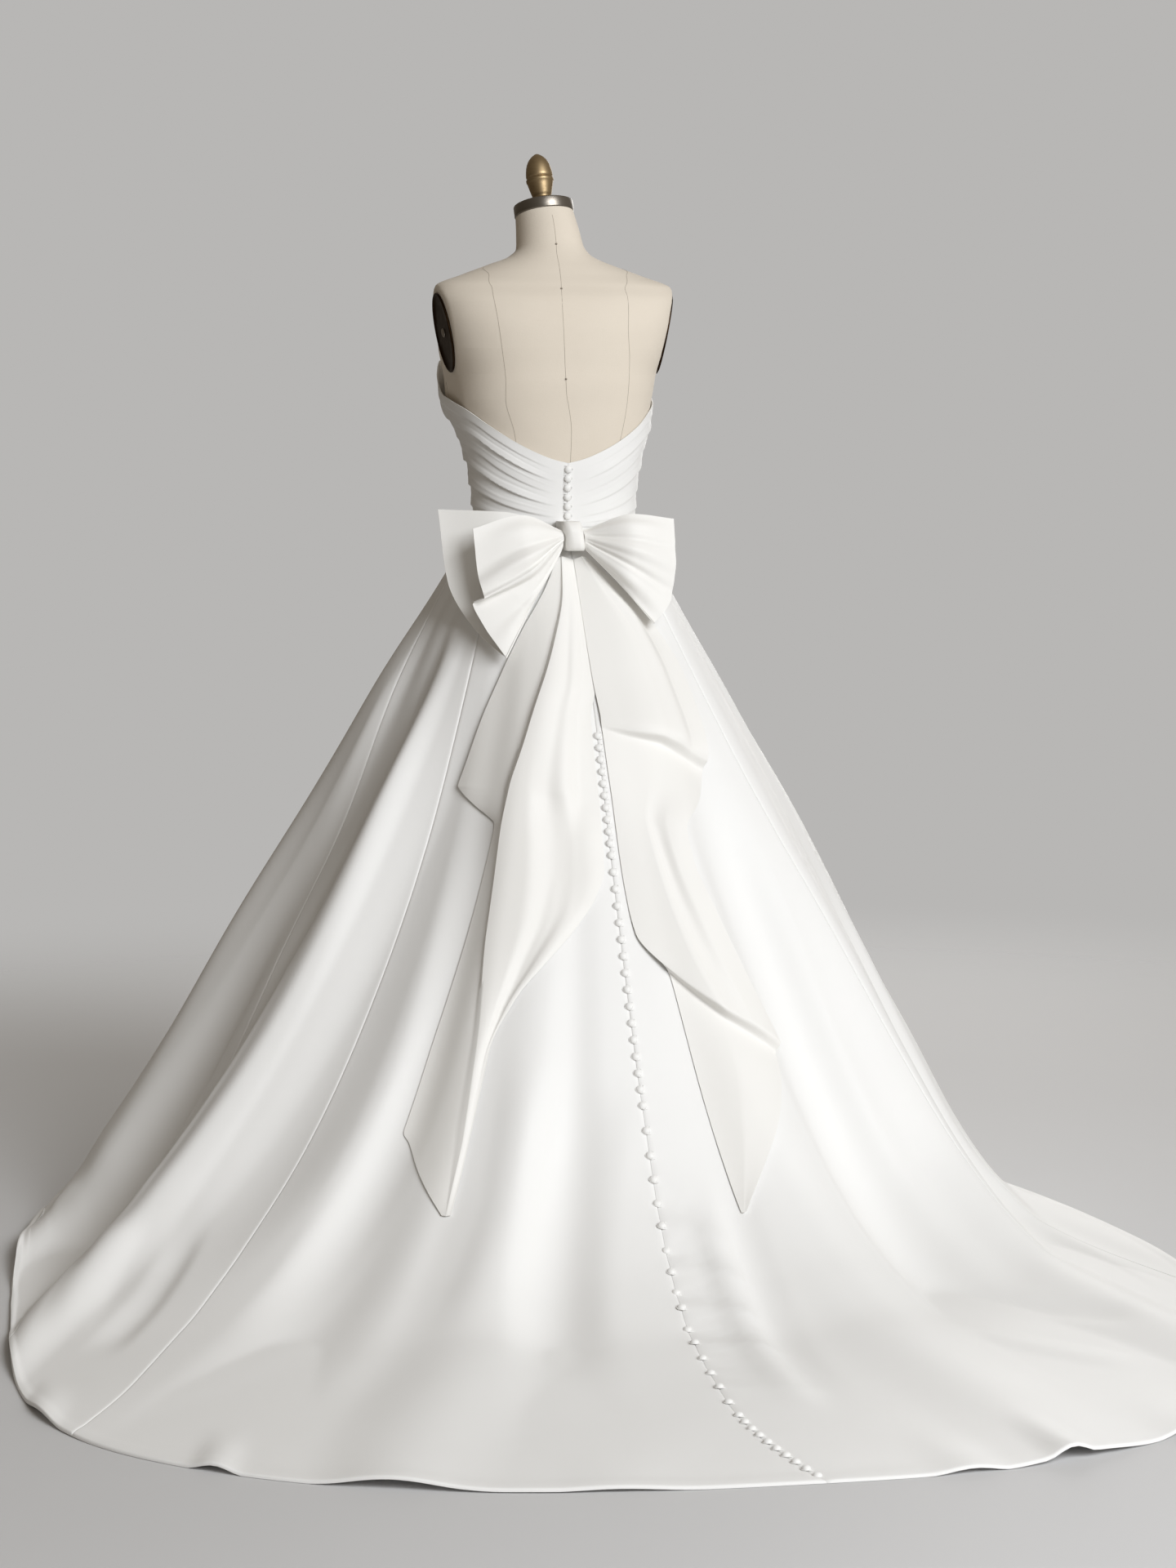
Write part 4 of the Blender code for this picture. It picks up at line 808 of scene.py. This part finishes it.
def loop_grids(lines, folds, stations, turns):
    """Cloth of a bow loop, drawn across its lines and out from the knot, with its folds."""
    rows = rows_of(lines, LINE_COLUMNS)
    shares = np.linspace(0.0, 1.0, stations)
    along = np.zeros((len(lines), stations, 3))
    for axis, letter in enumerate("xyz"):
        for i, row in enumerate(rows):
            ends = [row[f"{place}_{letter}"] for place in ("knot", "mid", "end")]
            along[i, :, axis] = smooth(ENDS_AND_MIDDLE, ends, shares)
    places = np.linspace(0.0, 1.0, turns)
    line_places = np.linspace(0.0, 1.0, len(lines))
    face = np.zeros((turns, stations, 3))
    for axis in range(3):
        for j in range(stations):
            face[:, j, axis] = smooth(line_places, along[:, j, axis], places)
    normal = grid_normal(face)
    if normal[1, stations // 2, 1] < 0:
        normal = -normal
    rise = np.zeros((turns, stations))
    for fold in rows_of(folds, LOOP_FOLD_COLUMNS):
        reach = smooth((0.0, 0.12, 0.5, 1.0), (0.0, fold["knot"], fold["middle"], fold["end"]), shares)
        rise += bell((places[:, None] - fold["place"]) / fold["half"]) * reach[None, :]
    face = face + normal * rise[..., None]
    return face, face - normal * BOW_WALL


def grid_normal(grid):
    """Normals of a grid of points."""
    return unit(np.cross(np.gradient(grid, axis=0), np.gradient(grid, axis=1)))


def tail_grids(table, folds, strips):
    """Cloth of a bow tail over the skirt, with its crease and soft folds."""
    places = np.linspace(0.0, len(table) - 1.0, (len(table) - 1) * TAIL_FINE + 1)
    row = {name: smooth(np.arange(len(table)), column(table, TAIL_COLUMNS, name), places)[:, None]
           for name in TAIL_COLUMNS}
    left = np.linspace(0.0, 0.92, strips[0] + 1)[None, :]
    right = np.linspace(0.0, 1.0, strips[1] + 1)[None, :]
    low = row["crease_lift"] - row["step"]
    angle = np.concatenate([row["left_angle"] + (row["crease_angle"] - row["left_angle"]) * left,
                            row["crease_angle"] + (row["right_angle"] - row["crease_angle"]) * right], 1)
    t = np.concatenate([row["left_t"] + (row["crease_t"] - row["left_t"]) * left,
                        row["crease_t"] + (row["right_t"] - row["crease_t"]) * right], 1)
    lift = np.concatenate([row["left_lift"] + (low - row["left_lift"]) * left / 0.92,
                           row["crease_lift"] + (row["right_lift"] - row["crease_lift"]) * ease(right)], 1)
    for fold in rows_of(folds, TAIL_FOLD_COLUMNS):
        along = np.clip((places[:, None] - fold["first"]) / (fold["last"] - fold["first"]), 0.0, 1.0)
        centre = fold["place_1"] + (fold["place_2"] - fold["place_1"]) * along
        fade = ease(along / 0.35) * ease((1 - along) / 0.35)
        lift[:, strips[0] + 1:] += fold["height"] * fade * bell((right - centre) / fold["half"])
    lift = np.maximum(lift, TAIL_WALL + 0.0008)
    outer, normal = skirt_surface(angle, t)
    return outer + normal * lift[..., None], outer + normal * (lift - TAIL_WALL)[..., None]


# ---------------------------------------------------------------- meshes
def make_piece(name, points, faces, material, uv=None):
    """Object of points and faces, with smooth shading and cloth coordinates in metres."""
    mesh = bpy.data.meshes.new(name)
    mesh.from_pydata(np.asarray(points).tolist(), [], faces)
    mesh.materials.append(material)
    mesh.shade_smooth()
    mesh.set_sharp_from_angle(angle=math.radians(50.0))
    if uv is not None:
        corners = np.zeros(len(mesh.loops), int)
        mesh.loops.foreach_get("vertex_index", corners)
        layer = mesh.uv_layers.new(name="cloth")
        layer.data.foreach_set("uv", np.asarray(uv)[corners].reshape(-1))
    item = bpy.data.objects.new(name, mesh)
    bpy.context.scene.collection.objects.link(item)
    return item


def grid_uv(grid):
    """Cloth coordinates of a grid: distance across and distance down."""
    middle = grid.shape[1] // 2
    u = np.zeros(grid.shape[:2])
    u[:, 1:] = np.cumsum(np.linalg.norm(np.diff(grid, axis=1), axis=-1), axis=1)
    u -= u[:, middle:middle + 1]
    v = np.zeros(grid.shape[:2])
    v[1:] = np.cumsum(np.linalg.norm(np.diff(grid[:, middle:middle + 1], axis=0), axis=-1), axis=0)
    return np.stack([u, v], -1).reshape(-1, 2)


def cloth(name, outer, inner, material):
    """Closed wall between two grids of points, with a rounded rim."""
    rows, cols = outer.shape[:2]
    half = rows * cols
    uv = grid_uv(outer)
    index = np.arange(half).reshape(rows, cols)
    a = index[:-1, :-1].ravel()
    b = index[:-1, 1:].ravel()
    c = index[1:, 1:].ravel()
    d = index[1:, :-1].ravel()
    faces = np.concatenate([np.stack([a, b, c, d], 1), np.stack([d, c, b, a], 1) + half])
    border = np.concatenate([index[0], index[1:, -1], index[-1, -2::-1], index[-2:0:-1, 0]])
    within = index[np.clip(border // cols, 1, rows - 2), np.clip(border % cols, 1, cols - 2)]
    flat_outer = outer.reshape(-1, 3)
    flat_inner = inner.reshape(-1, 3)
    middle = (flat_outer[border] + flat_inner[border]) / 2
    away = unit(middle - (flat_outer[within] + flat_inner[within]) / 2)
    thick = np.linalg.norm(flat_outer[border] - flat_inner[border], axis=1, keepdims=True)
    bulge = np.minimum(0.28 * thick, SEAM_GAP / 2 - 0.00005)
    rim = middle + away * bulge
    ring = 2 * half + np.arange(len(border))
    after = np.roll(np.arange(len(border)), -1)
    faces = np.concatenate([
        faces,
        np.stack([border[after], border, ring, ring[after]], 1),
        np.stack([ring[after], ring, border + half, border[after] + half], 1),
    ])
    points = np.concatenate([flat_outer, flat_inner, rim])
    centre = points.mean(axis=0)
    p, q, r = ((points - centre)[faces[:, k]] for k in (0, 1, 2))
    s = (points - centre)[faces[:, 3]]
    volume = np.einsum("ij,ij->i", p, np.cross(q, r)).sum() + np.einsum("ij,ij->i", p, np.cross(r, s)).sum()
    if volume < 0:
        faces = faces[:, ::-1]
    return make_piece(name, points, faces.tolist(), material, np.concatenate([uv, uv, uv[border]]))


def tube(name, rings, material):
    """Closed solid through rings of points, with its two ends filled."""
    rings = np.asarray(rings, float)
    count, size = rings.shape[:2]
    points = np.concatenate([rings.reshape(-1, 3), [rings[0].mean(axis=0)], [rings[-1].mean(axis=0)]])
    faces = []
    for r in range(count - 1):
        for i in range(size):
            j = (i + 1) % size
            a = r * size
            faces.append((a + i, a + j, a + j + size, a + i + size))
    last = (count - 1) * size
    for i in range(size):
        j = (i + 1) % size
        faces.append((j, i, len(points) - 2))
        faces.append((last + i, last + j, len(points) - 1))
    return make_piece(name, points, faces, material, points[:, ::2])


def cord_rings(path, radius, sides):
    """Rings of a round cord along a path."""
    path = np.asarray(path, float)
    ahead = unit(np.gradient(path, axis=0))
    helper = np.where(np.abs(ahead[:, 2:3]) < 0.9, [[0.0, 0.0, 1.0]], [[1.0, 0.0, 0.0]])
    first = unit(np.cross(ahead, helper))
    second = np.cross(ahead, first)
    turn = np.linspace(0.0, 2 * math.pi, sides, endpoint=False)
    return (path[:, None] + radius * (first[:, None] * np.cos(turn)[None, :, None]
                                      + second[:, None] * np.sin(turn)[None, :, None]))


def turned_rings(profile, origin, axis, sides, stretch=(1.0, 1.0)):
    """Rings of a profile turned about an axis."""
    axis = unit(np.asarray(axis, float))
    helper = np.array([0.0, 1.0, 0.0]) if abs(axis[1]) < 0.9 else np.array([1.0, 0.0, 0.0])
    first = unit(np.cross(helper, axis))
    second = np.cross(axis, first)
    turn = np.linspace(0.0, 2 * math.pi, sides, endpoint=False)[:, None]
    flat = first * np.cos(turn) * stretch[0] + second * np.sin(turn) * stretch[1]
    return [np.asarray(origin) + flat * max(radius, 1e-5) + axis * height for radius, height in profile]


def turned(name, profile, origin, axis, sides, material, stretch=(1.0, 1.0)):
    """Solid of a profile turned about an axis."""
    return tube(name, turned_rings(profile, origin, axis, sides, stretch), material)


def joined(name, rings_list, material):
    """One object of several separate tubes."""
    parts = [tube(f"{name}_{k}", rings, material) for k, rings in enumerate(rings_list)]
    points = []
    faces = []
    for part in parts:
        start = len(points)
        points += [tuple(v.co) for v in part.data.vertices]
        faces += [tuple(start + k for k in face.vertices) for face in part.data.polygons]
        bpy.data.objects.remove(part, do_unlink=True)
    return make_piece(name, points, faces, material, np.array(points)[:, ::2])


def own(item, slot, *nodes):
    """Item rides on the part's body and replaces CAD nodes, which it hides. The slot is not used."""
    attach(item, "root")
    if nodes:
        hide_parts(*nodes)


# ---------------------------------------------------------------- materials
class Nodes:
    """Short way to add nodes to one material."""

    def __init__(self, name):
        self.material = bpy.data.materials.new(name)
        self.material.use_nodes = True
        self.tree = self.material.node_tree
        self.shader = self.tree.nodes["Principled BSDF"]

    def add(self, kind, inputs=None, **settings):
        node = self.tree.nodes.new(kind)
        for key, value in settings.items():
            setattr(node, key, value)
        for key, value in (inputs or {}).items():
            if isinstance(value, bpy.types.NodeSocket):
                self.tree.links.new(value, node.inputs[key])
            else:
                node.inputs[key].default_value = value
        return node

    def noise(self, coordinates, scale, detail=2.0, roughness=0.5):
        return self.add("ShaderNodeTexNoise", {"Vector": coordinates, "Scale": scale, "Detail": detail,
                                               "Roughness": roughness}).outputs["Fac"]

    def stretch(self, coordinates, scale):
        return self.add("ShaderNodeMapping", {"Vector": coordinates, "Scale": scale}).outputs["Vector"]

    def between(self, value, low, high):
        node = self.add("ShaderNodeMapRange", {"Value": value, "To Min": low, "To Max": high})
        return node.outputs["Result"]

    def mix(self, factor, first, second):
        node = self.add("ShaderNodeMix", {"Factor": factor}, data_type="RGBA")
        colours = [socket for socket in node.inputs if socket.type == "RGBA"]
        colours[0].default_value = (*first, 1.0)
        colours[1].default_value = (*second, 1.0)
        return [socket for socket in node.outputs if socket.type == "RGBA"][0]

    def math(self, operation, first, second):
        return self.add("ShaderNodeMath", {0: first, 1: second}, operation=operation).outputs[0]

    def bump(self, height, strength, distance, below=None):
        inputs = {"Height": height, "Strength": strength, "Distance": distance}
        if below is not None:
            inputs["Normal"] = below
        return self.add("ShaderNodeBump", inputs).outputs["Normal"]

    def link(self, socket, name):
        self.tree.links.new(socket, self.shader.inputs[name])

    def set(self, **values):
        for name, value in values.items():
            self.shader.inputs[name.replace("_", " ")].default_value = value


def satin_material(name, pale, deep, roughness):
    """Heavy satin: a fine twill face, a soft broad sheen and a faint cross slub."""
    n = Nodes(name)
    uv = n.add("ShaderNodeTexCoord").outputs["UV"]
    place = n.add("ShaderNodeTexCoord").outputs["Object"]
    slub = n.noise(n.stretch(uv, (900.0, 60.0, 1.0)), 1.0, 2.0)
    cloud = n.noise(place, 7.0, 3.0)
    n.link(n.mix(n.between(cloud, 0.2, 0.8), pale, deep), "Base Color")
    twill = n.add("ShaderNodeTexWave", {"Vector": n.stretch(uv, (1.0, 0.6, 1.0)), "Scale": 420.0,
                                        "Distortion": 0.4}, bands_direction="DIAGONAL").outputs["Fac"]
    n.link(n.between(n.math("ADD", slub, cloud), roughness - 0.05, roughness + 0.05), "Roughness")
    fine = n.bump(twill, 0.10, 0.0002)
    n.link(n.bump(slub, 0.12, 0.0003, fine), "Normal")
    n.set(Sheen_Weight=0.12, Sheen_Roughness=0.45, Specular_IOR_Level=0.35)
    n.shader.inputs["Sheen Tint"].default_value = (1.0, 0.98, 0.95, 1.0)
    return n.material


def linen_material(name, pale, deep):
    """Plain-woven cotton cover: threads both ways, matt, a little uneven in colour."""
    n = Nodes(name)
    place = n.add("ShaderNodeTexCoord").outputs["Object"]
    weft = n.noise(n.stretch(place, (260.0, 260.0, 1900.0)), 1.0, 1.0)
    warp = n.noise(n.stretch(place, (1700.0, 1700.0, 220.0)), 1.0, 1.0)
    threads = n.math("ADD", weft, warp)
    cloud = n.noise(place, 11.0, 4.0, 0.6)
    tone = n.math("ADD", n.math("MULTIPLY", threads, 0.3), n.math("MULTIPLY", cloud, 0.7))
    n.link(n.mix(n.between(tone, 0.1, 0.9), pale, deep), "Base Color")
    n.link(n.bump(threads, 0.35, 0.0004), "Normal")
    n.link(n.between(cloud, 0.82, 0.95), "Roughness")
    n.set(Sheen_Weight=0.10, Specular_IOR_Level=0.25)
    return n.material


def metal_material(name, pale, deep, roughness, stretch, worn=0.0):
    """Metal with fine turning lines and duller patches."""
    n = Nodes(name)
    place = n.add("ShaderNodeTexCoord").outputs["Object"]
    lines = n.noise(n.stretch(place, stretch), 1.0, 2.0)
    patches = n.noise(place, 55.0, 4.0, 0.65)
    mixed = n.math("ADD", n.math("MULTIPLY", lines, 0.5), n.math("MULTIPLY", patches, 0.5 + worn))
    n.link(n.mix(n.between(mixed, 0.15, 0.95), pale, deep), "Base Color")
    n.link(n.between(mixed, roughness - 0.10, roughness + 0.18), "Roughness")
    n.link(n.bump(lines, 0.15, 0.0003), "Normal")
    n.set(Metallic=1.0)
    return n.material


def make_materials():
    return {
        "satin": satin_material("ivory_satin_cloth", (0.888, 0.884, 0.872), (0.868, 0.863, 0.848), 0.50),
        # The bow's satin is the gown's satin with a creamier, slightly darker tint: painted warm shade of
        # its folded double layers.
        "bow": satin_material("ivory_satin_bow_painted_shade", (0.888, 0.877, 0.850), (0.866, 0.852, 0.820), 0.48),
        "button": satin_material("ivory_satin_buttons", (0.890, 0.886, 0.872), (0.872, 0.866, 0.848), 0.42),
        "linen": linen_material("beige_linen_cover", (0.790, 0.718, 0.618), (0.715, 0.640, 0.540)),
        # The seam cords are dark partly for their stitching thread and partly as painted shade in the
        # pressed joints.
        "thread_and_shade": linen_material("seam_thread_and_painted_shade", (0.400, 0.345, 0.290), (0.340, 0.290, 0.240)),
        "steel": metal_material("brushed_steel_turned", (0.330, 0.300, 0.262), (0.200, 0.178, 0.152), 0.30,
                                (60.0, 60.0, 2600.0)),
        "brass": metal_material("antique_brass_turned", (0.660, 0.510, 0.300), (0.300, 0.215, 0.120), 0.36,
                                (80.0, 80.0, 1400.0), 0.4),
        "dark": metal_material("dark_metal_plate", (0.045, 0.024, 0.011), (0.016, 0.008, 0.004), 0.38,
                               (700.0, 90.0, 90.0)),
        "iron": metal_material("black_iron_base", (0.060, 0.060, 0.060), (0.030, 0.030, 0.030), 0.60,
                               (240.0, 240.0, 240.0)),
        "pin": metal_material("pin_heads", (0.200, 0.170, 0.130), (0.120, 0.100, 0.080), 0.40,
                              (300.0, 300.0, 300.0)),
    }


# ---------------------------------------------------------------- pieces
def build_skirt(m):
    for gore in rows_of(GORES, GORE_COLUMNS):
        outer, inner = gore_grids(gore)
        own(cloth(f"{gore['name']}_satin", outer, inner, m["satin"]), "ivory_satin", gore["name"])


def build_bodice(m):
    for name, start, end, strips in BODICE_PANELS:
        outer, inner = bodice_grids(start, end, strips)
        own(cloth(f"{name}_satin", outer, inner, m["satin"]), "ivory_satin", name)


def button_profile(radius, height):
    """Covered button: a short foot under a full dome."""
    rings = [(0.0, 0.0), (0.82 * radius, 0.0), (0.97 * radius, 0.0004), (radius, 0.0010)]
    for turn in (18, 36, 54, 70, 82):
        share = math.radians(turn)
        rings.append((radius * math.cos(share), 0.0010 + (height - 0.0010) * math.sin(share)))
    rings.append((0.0, height))
    return tuple(rings)


def loop_turns(half_turn, count):
    """Angles along the cord loop of a button, open at the button's side."""
    return np.radians(np.linspace(-half_turn, half_turn, count))


def bodice_back(z, out):
    """Point out from the bodice's outer face at the centre back."""
    x, y, _ = torso_point(np.array(180.0), z, BODICE_GAP + WALL + out)
    return np.array([float(x), float(y), float(z)])


def build_bodice_buttons(m):
    profile = button_profile(BUTTON_RADIUS, BUTTON_HEIGHT)
    loops = []
    for number, z in enumerate(BODICE_BUTTON_Z, 1):
        slope = (bodice_back(z + 0.01, 0.0)[1] - bodice_back(z - 0.01, 0.0)[1]) / 0.02
        rings = turned_rings(profile, bodice_back(z, 0.0007), (0.0, 1.0, -slope), 24)
        node = f"bodice_button_{number}"
        own(tube(f"{node}_satin", rings, m["button"]), "ivory_satin", node)
        path = [bodice_back(z, 0.0011) + (0.0040 - 0.0112 * math.cos(a), 0.0, 0.0058 * math.sin(a))
                for a in loop_turns(100.0, 15)]
        loops.append(cord_rings(path, CORD_RADIUS, 8))
    own(joined("bodice_button_loops", loops, m["button"]), "ivory_satin")


def waist_surface(z):
    """How far back the gown's outer face lies at the centre back."""
    if z <= WAIST_Z:
        places = np.linspace(0.0, 0.06, 61)
        edge = skirt_folded(np.full(61, 180.0), places)
        return float(np.interp(-z, -edge[:, 2], edge[:, 1]))
    return float(torso_point(np.array(180.0), z, BODICE_GAP + WALL)[1])


def build_knot(m):
    """Knot of the bow: a folded band drawn tight, a little narrower and skewed below."""
    turns = np.linspace(0.0, 2 * math.pi, KNOT_TURNS, endpoint=False)
    heights = column(KNOT, KNOT_COLUMNS, "z")
    rings = []
    for z in np.linspace(heights[0], heights[-1], KNOT_LEVELS):
        row = row_at(KNOT, KNOT_COLUMNS, z)
        half, front = float(row["half"]), float(row["front"])
        seat = waist_surface(z) + KNOT_GAP
        x = KNOT_X + KNOT_SKEW * (z - 1.062) + half * power(np.cos(turns), 0.62)
        y = (front + seat) / 2 + (front - seat) / 2 * power(np.sin(turns), 0.5)
        pleat = 0.0007 * np.cos(4.0 * turns + 40.0 * (z - 1.06)) * np.clip(np.sin(turns), 0.0, 1.0)
        rings.append(np.stack([x, y - 0.0011 + pleat, np.full(len(turns), z)], -1))
    own(tube("bow_knot_satin", rings, m["bow"]), "ivory_satin", "bow_knot")


def build_bow(m):
    build_knot(m)
    for name, lines, folds in (("bow_loop_left", LOOP_LEFT, LOOP_FOLDS_LEFT),
                               ("bow_loop_right", LOOP_RIGHT, LOOP_FOLDS_RIGHT)):
        outer, inner = loop_grids(lines, folds, LOOP_STATIONS, LOOP_TURNS)
        own(cloth(f"{name}_satin", outer, inner, m["bow"]), "ivory_satin", name)
    for name, table, folds in (("bow_tail_left", TAIL_LEFT, TAIL_FOLDS_LEFT),
                               ("bow_tail_right", TAIL_RIGHT, TAIL_FOLDS_RIGHT)):
        outer, inner = tail_grids(table, folds, TAIL_STRIPS)
        own(cloth(f"{name}_satin", outer, inner, m["bow"]), "ivory_satin", name)


def button_places():
    """Share of the skirt's length at each button."""
    places = []
    for run in rows_of(BUTTON_RUNS, BUTTON_RUN_COLUMNS):
        step = (run["end"] - run["start"]) / run["count"]
        places += [run["start"] + step * i for i in range(run["count"])]
    return np.array(places)


def build_skirt_buttons(m):
    """Covered buttons and their cord loops down the centre-back seam."""
    places = button_places()
    centre = seam_angle("back", places)
    points, normals = skirt_surface(centre, places)
    _, sides = across(skirt_folded, centre, places)
    downs = np.cross(sides, normals)
    profile = button_profile(BUTTON_RADIUS, BUTTON_HEIGHT + 0.0006)
    rings = []
    for point, normal, side, down in zip(points, normals, sides, downs):
        rings.append(turned_rings(profile, point + normal * 0.0002, normal, 20))
        path = [point + normal * 0.0008 - side * (0.0105 * math.cos(a) - 0.0038)
                + down * (0.0060 * math.sin(a)) for a in loop_turns(105.0, 13)]
        rings.append(cord_rings(path, CORD_RADIUS, 6))
    own(joined("skirt_buttons_satin", rings, m["button"]), "ivory_satin", "skirt_button_tape")


def build_torso(m):
    angles = np.arange(0.0, 360.0, 2.5)
    heights = column(TORSO, TORSO_COLUMNS, "z")
    body = np.arange(heights[0], SHOULDER_Z, BODY_STEP)
    shoulders = np.arange(SHOULDER_Z, heights[-1], SHOULDER_STEP)
    levels = np.unique(np.concatenate([body, shoulders, heights]))
    rings = [place_torso(angles, z) for z in levels]
    own(tube("form_torso_cover", rings, m["linen"]), "beige_linen", "form_torso")
    cords = []
    share = np.linspace(0.0, 1.0, 70)
    for path, mirrored in FORM_SEAMS:
        path = np.array(path)
        places = np.linspace(0.0, 1.0, len(path))
        z = smooth(places, path[:, 1], share)
        for angles_along in (path[:, 0], 360.0 - path[:, 0])[:1 + mirrored]:
            angle = smooth(places, angles_along, share)
            cords.append(cord_rings(place_torso(angle, z), SEAM_THREAD, 6))
    # Dark cords along the seams: the stitching, with painted shade of the joints.
    own(joined("form_seams", cords, m["thread_and_shade"]), "beige_linen")
    pins = []
    for angle, z in PINS:
        point = place_torso(np.array(angle), np.array(z))
        pins.append(turned_rings(button_profile(0.0016, 0.0014), point, (0.0, 1.0, 0.1), 12))
    own(joined("form_pins", pins, m["pin"]), "dark_metal")


def build_arm_plates(m):
    for name, side in (("form_arm_plate_left", 1.0), ("form_arm_plate_right", -1.0)):
        axis = unit(np.array([side, PLATE_SLOPE[0], PLATE_SLOPE[1]]))
        origin = np.array([side * PLATE_CENTRE[0], PLATE_CENTRE[1], PLATE_CENTRE[2]]) + axis * SEAM_GAP
        plate = turned(f"{name}_metal", PLATE_PROFILE, origin, axis, 72, m["dark"], PLATE_HALF[::-1])
        own(plate, "dark_metal", name)
        face = origin + axis * PLATE_PROFILE[-1][1]
        own(turned(f"{name}_screw", SCREW_PROFILE, face, axis, 28, m["steel"]), "brushed_steel")


def build_stand(m):
    lean = unit(np.array([NECK_LEAN[0], NECK_LEAN[1], 1.0]))
    up = (0.0, 0.0, 1.0)
    top = dict(zip(TORSO_COLUMNS, TORSO[-1]))
    neck = np.array([top["cx"], top["cy"], top["z"]]) + lean * SEAM_GAP
    seat = neck + lean * (NECK_RING_PROFILE[-1][1] + SEAM_GAP)
    bottom = BASE_PROFILE[-1][1] + SEAM_GAP
    length = TORSO[0][0] - SEAM_GAP - bottom
    end = 0.94 * POLE_RADIUS
    pole = ((0.0, 0.0), (end, 0.0), (POLE_RADIUS, 0.001), (POLE_RADIUS, length / 2),
            (POLE_RADIUS, length - 0.001), (end, length), (0.0, length))
    for node, profile, origin, axis, sides, material, slot in (
            ("form_neck_ring", NECK_RING_PROFILE, neck, lean, 96, "steel", "brushed_steel"),
            ("form_finial", FINIAL_PROFILE, seat, lean, 64, "brass", "antique_brass"),
            ("stand_base", BASE_PROFILE, (0.0, 0.0, 0.0), up, 96, "iron", "black_iron"),
            ("stand_pole", pole, (0.0, 0.0, bottom), up, 40, "steel", "brushed_steel")):
        own(turned(f"{node}_metal", profile, origin, axis, sides, m[material]), slot, node)


# ---------------------------------------------------------------- studio
def add_light(name, place, target, size, power_watts, colour):
    light = bpy.data.lights.new(name, "AREA")
    light.shape = "RECTANGLE"
    light.size = size[0]
    light.size_y = size[1]
    light.energy = power_watts
    light.color = colour
    item = bpy.data.objects.new(name, light)
    item.location = place
    direction = np.array(target) - np.array(place)
    turn = math.atan2(direction[1], direction[0])
    drop = math.atan2(-direction[2], math.hypot(direction[0], direction[1]))
    item.rotation_euler = (math.pi / 2 - drop, 0.0, turn - math.pi / 2)
    bpy.context.scene.collection.objects.link(item)


def floor_material():
    """Pale studio floor that fades into the backdrop far from the object."""
    n = Nodes("studio_floor")
    place = n.add("ShaderNodeTexCoord").outputs["Object"]
    n.link(n.mix(n.noise(place, 1.6, 2.0), (0.655, 0.652, 0.654), (0.626, 0.624, 0.626)), "Base Color")
    n.set(Roughness=0.7)
    middle = n.add("ShaderNodeVectorMath", {0: place, 1: FLOOR_SHIFT}, operation="ADD").outputs["Vector"]
    away = n.add("ShaderNodeVectorMath", {0: middle}, operation="LENGTH").outputs["Value"]
    fade = n.add("ShaderNodeMapRange", {"Value": away, "From Min": FLOOR_FADE[0], "From Max": FLOOR_FADE[1]},
                 interpolation_type="SMOOTHSTEP").outputs["Result"]
    clear = n.add("ShaderNodeBsdfTransparent").outputs[0]
    mixer = n.add("ShaderNodeMixShader", {0: fade, 1: n.shader.outputs[0], 2: clear})
    n.tree.links.new(mixer.outputs[0], n.tree.nodes["Material Output"].inputs["Surface"])
    return n.material


def tone_between(tree, factor, first, second):
    """Mix of two colours, the first one left open where it is None."""
    tone = tree.nodes.new("ShaderNodeMix")
    tone.data_type = "RGBA"
    tree.links.new(factor, tone.inputs[0])
    for socket, colour in ((6, first), (7, second)):
        if colour is not None:
            tone.inputs[socket].default_value = (*colour, 1.0)
    return tone


def build_studio():
    """Floor, backdrop, surround and the two lights."""
    size = FLOOR_FADE[1] + 1.0
    corners = [(-size, -size, 0.0), (size, -size, 0.0), (size, size, 0.0), (-size, size, 0.0)]
    make_piece("studio_floor", corners, [(0, 1, 2, 3)], floor_material())
    world = bpy.data.worlds.new("studio")
    world.use_nodes = True
    tree = world.node_tree
    way = tree.nodes.new("ShaderNodeTexCoord").outputs["Generated"]
    facing = tree.nodes.new("ShaderNodeVectorMath")
    facing.operation = "DOT_PRODUCT"
    facing.inputs[1].default_value = SURROUND_WAY
    tree.links.new(way, facing.inputs[0])
    share = tree.nodes.new("ShaderNodeMapRange")
    share.inputs["From Min"].default_value = -1.0
    tree.links.new(facing.outputs["Value"], share.inputs["Value"])
    seen = tree.nodes.new("ShaderNodeLightPath").outputs["Is Camera Ray"]
    around = tone_between(tree, share.outputs["Result"], SURROUND_DARK, SURROUND_LIGHT)
    tone = tone_between(tree, seen, None, BACKDROP)
    tree.links.new(around.outputs[2], tone.inputs[6])
    background = tree.nodes["Background"]
    tree.links.new(tone.outputs[2], background.inputs["Color"])
    background.inputs["Strength"].default_value = 1.0
    bpy.context.scene.world = world
    bpy.context.scene.view_settings.view_transform = "Standard"
    add_light("key", KEY_PLACE, KEY_TARGET, KEY_SIZE, KEY_WATTS, KEY_COLOUR)
    add_light("fill", FILL_PLACE, FILL_TARGET, FILL_SIZE, FILL_WATTS, FILL_COLOUR)


def build_camera():
    data = bpy.data.cameras.new("camera")
    data.lens = CAMERA_LENS
    camera = bpy.data.objects.new("camera", data)
    camera.location = CAMERA_PLACE
    camera.rotation_euler = (math.radians(90.0 - CAMERA_DOWN), 0.0, math.radians(CAMERA_TURN))
    bpy.context.scene.collection.objects.link(camera)
    bpy.context.scene.camera = camera


def main():
    m = make_materials()
    build_camera()
    build_studio()
    build_skirt(m)
    build_bodice(m)
    build_bodice_buttons(m)
    build_bow(m)
    build_skirt_buttons(m)
    build_torso(m)
    build_arm_plates(m)
    build_stand(m)


main()
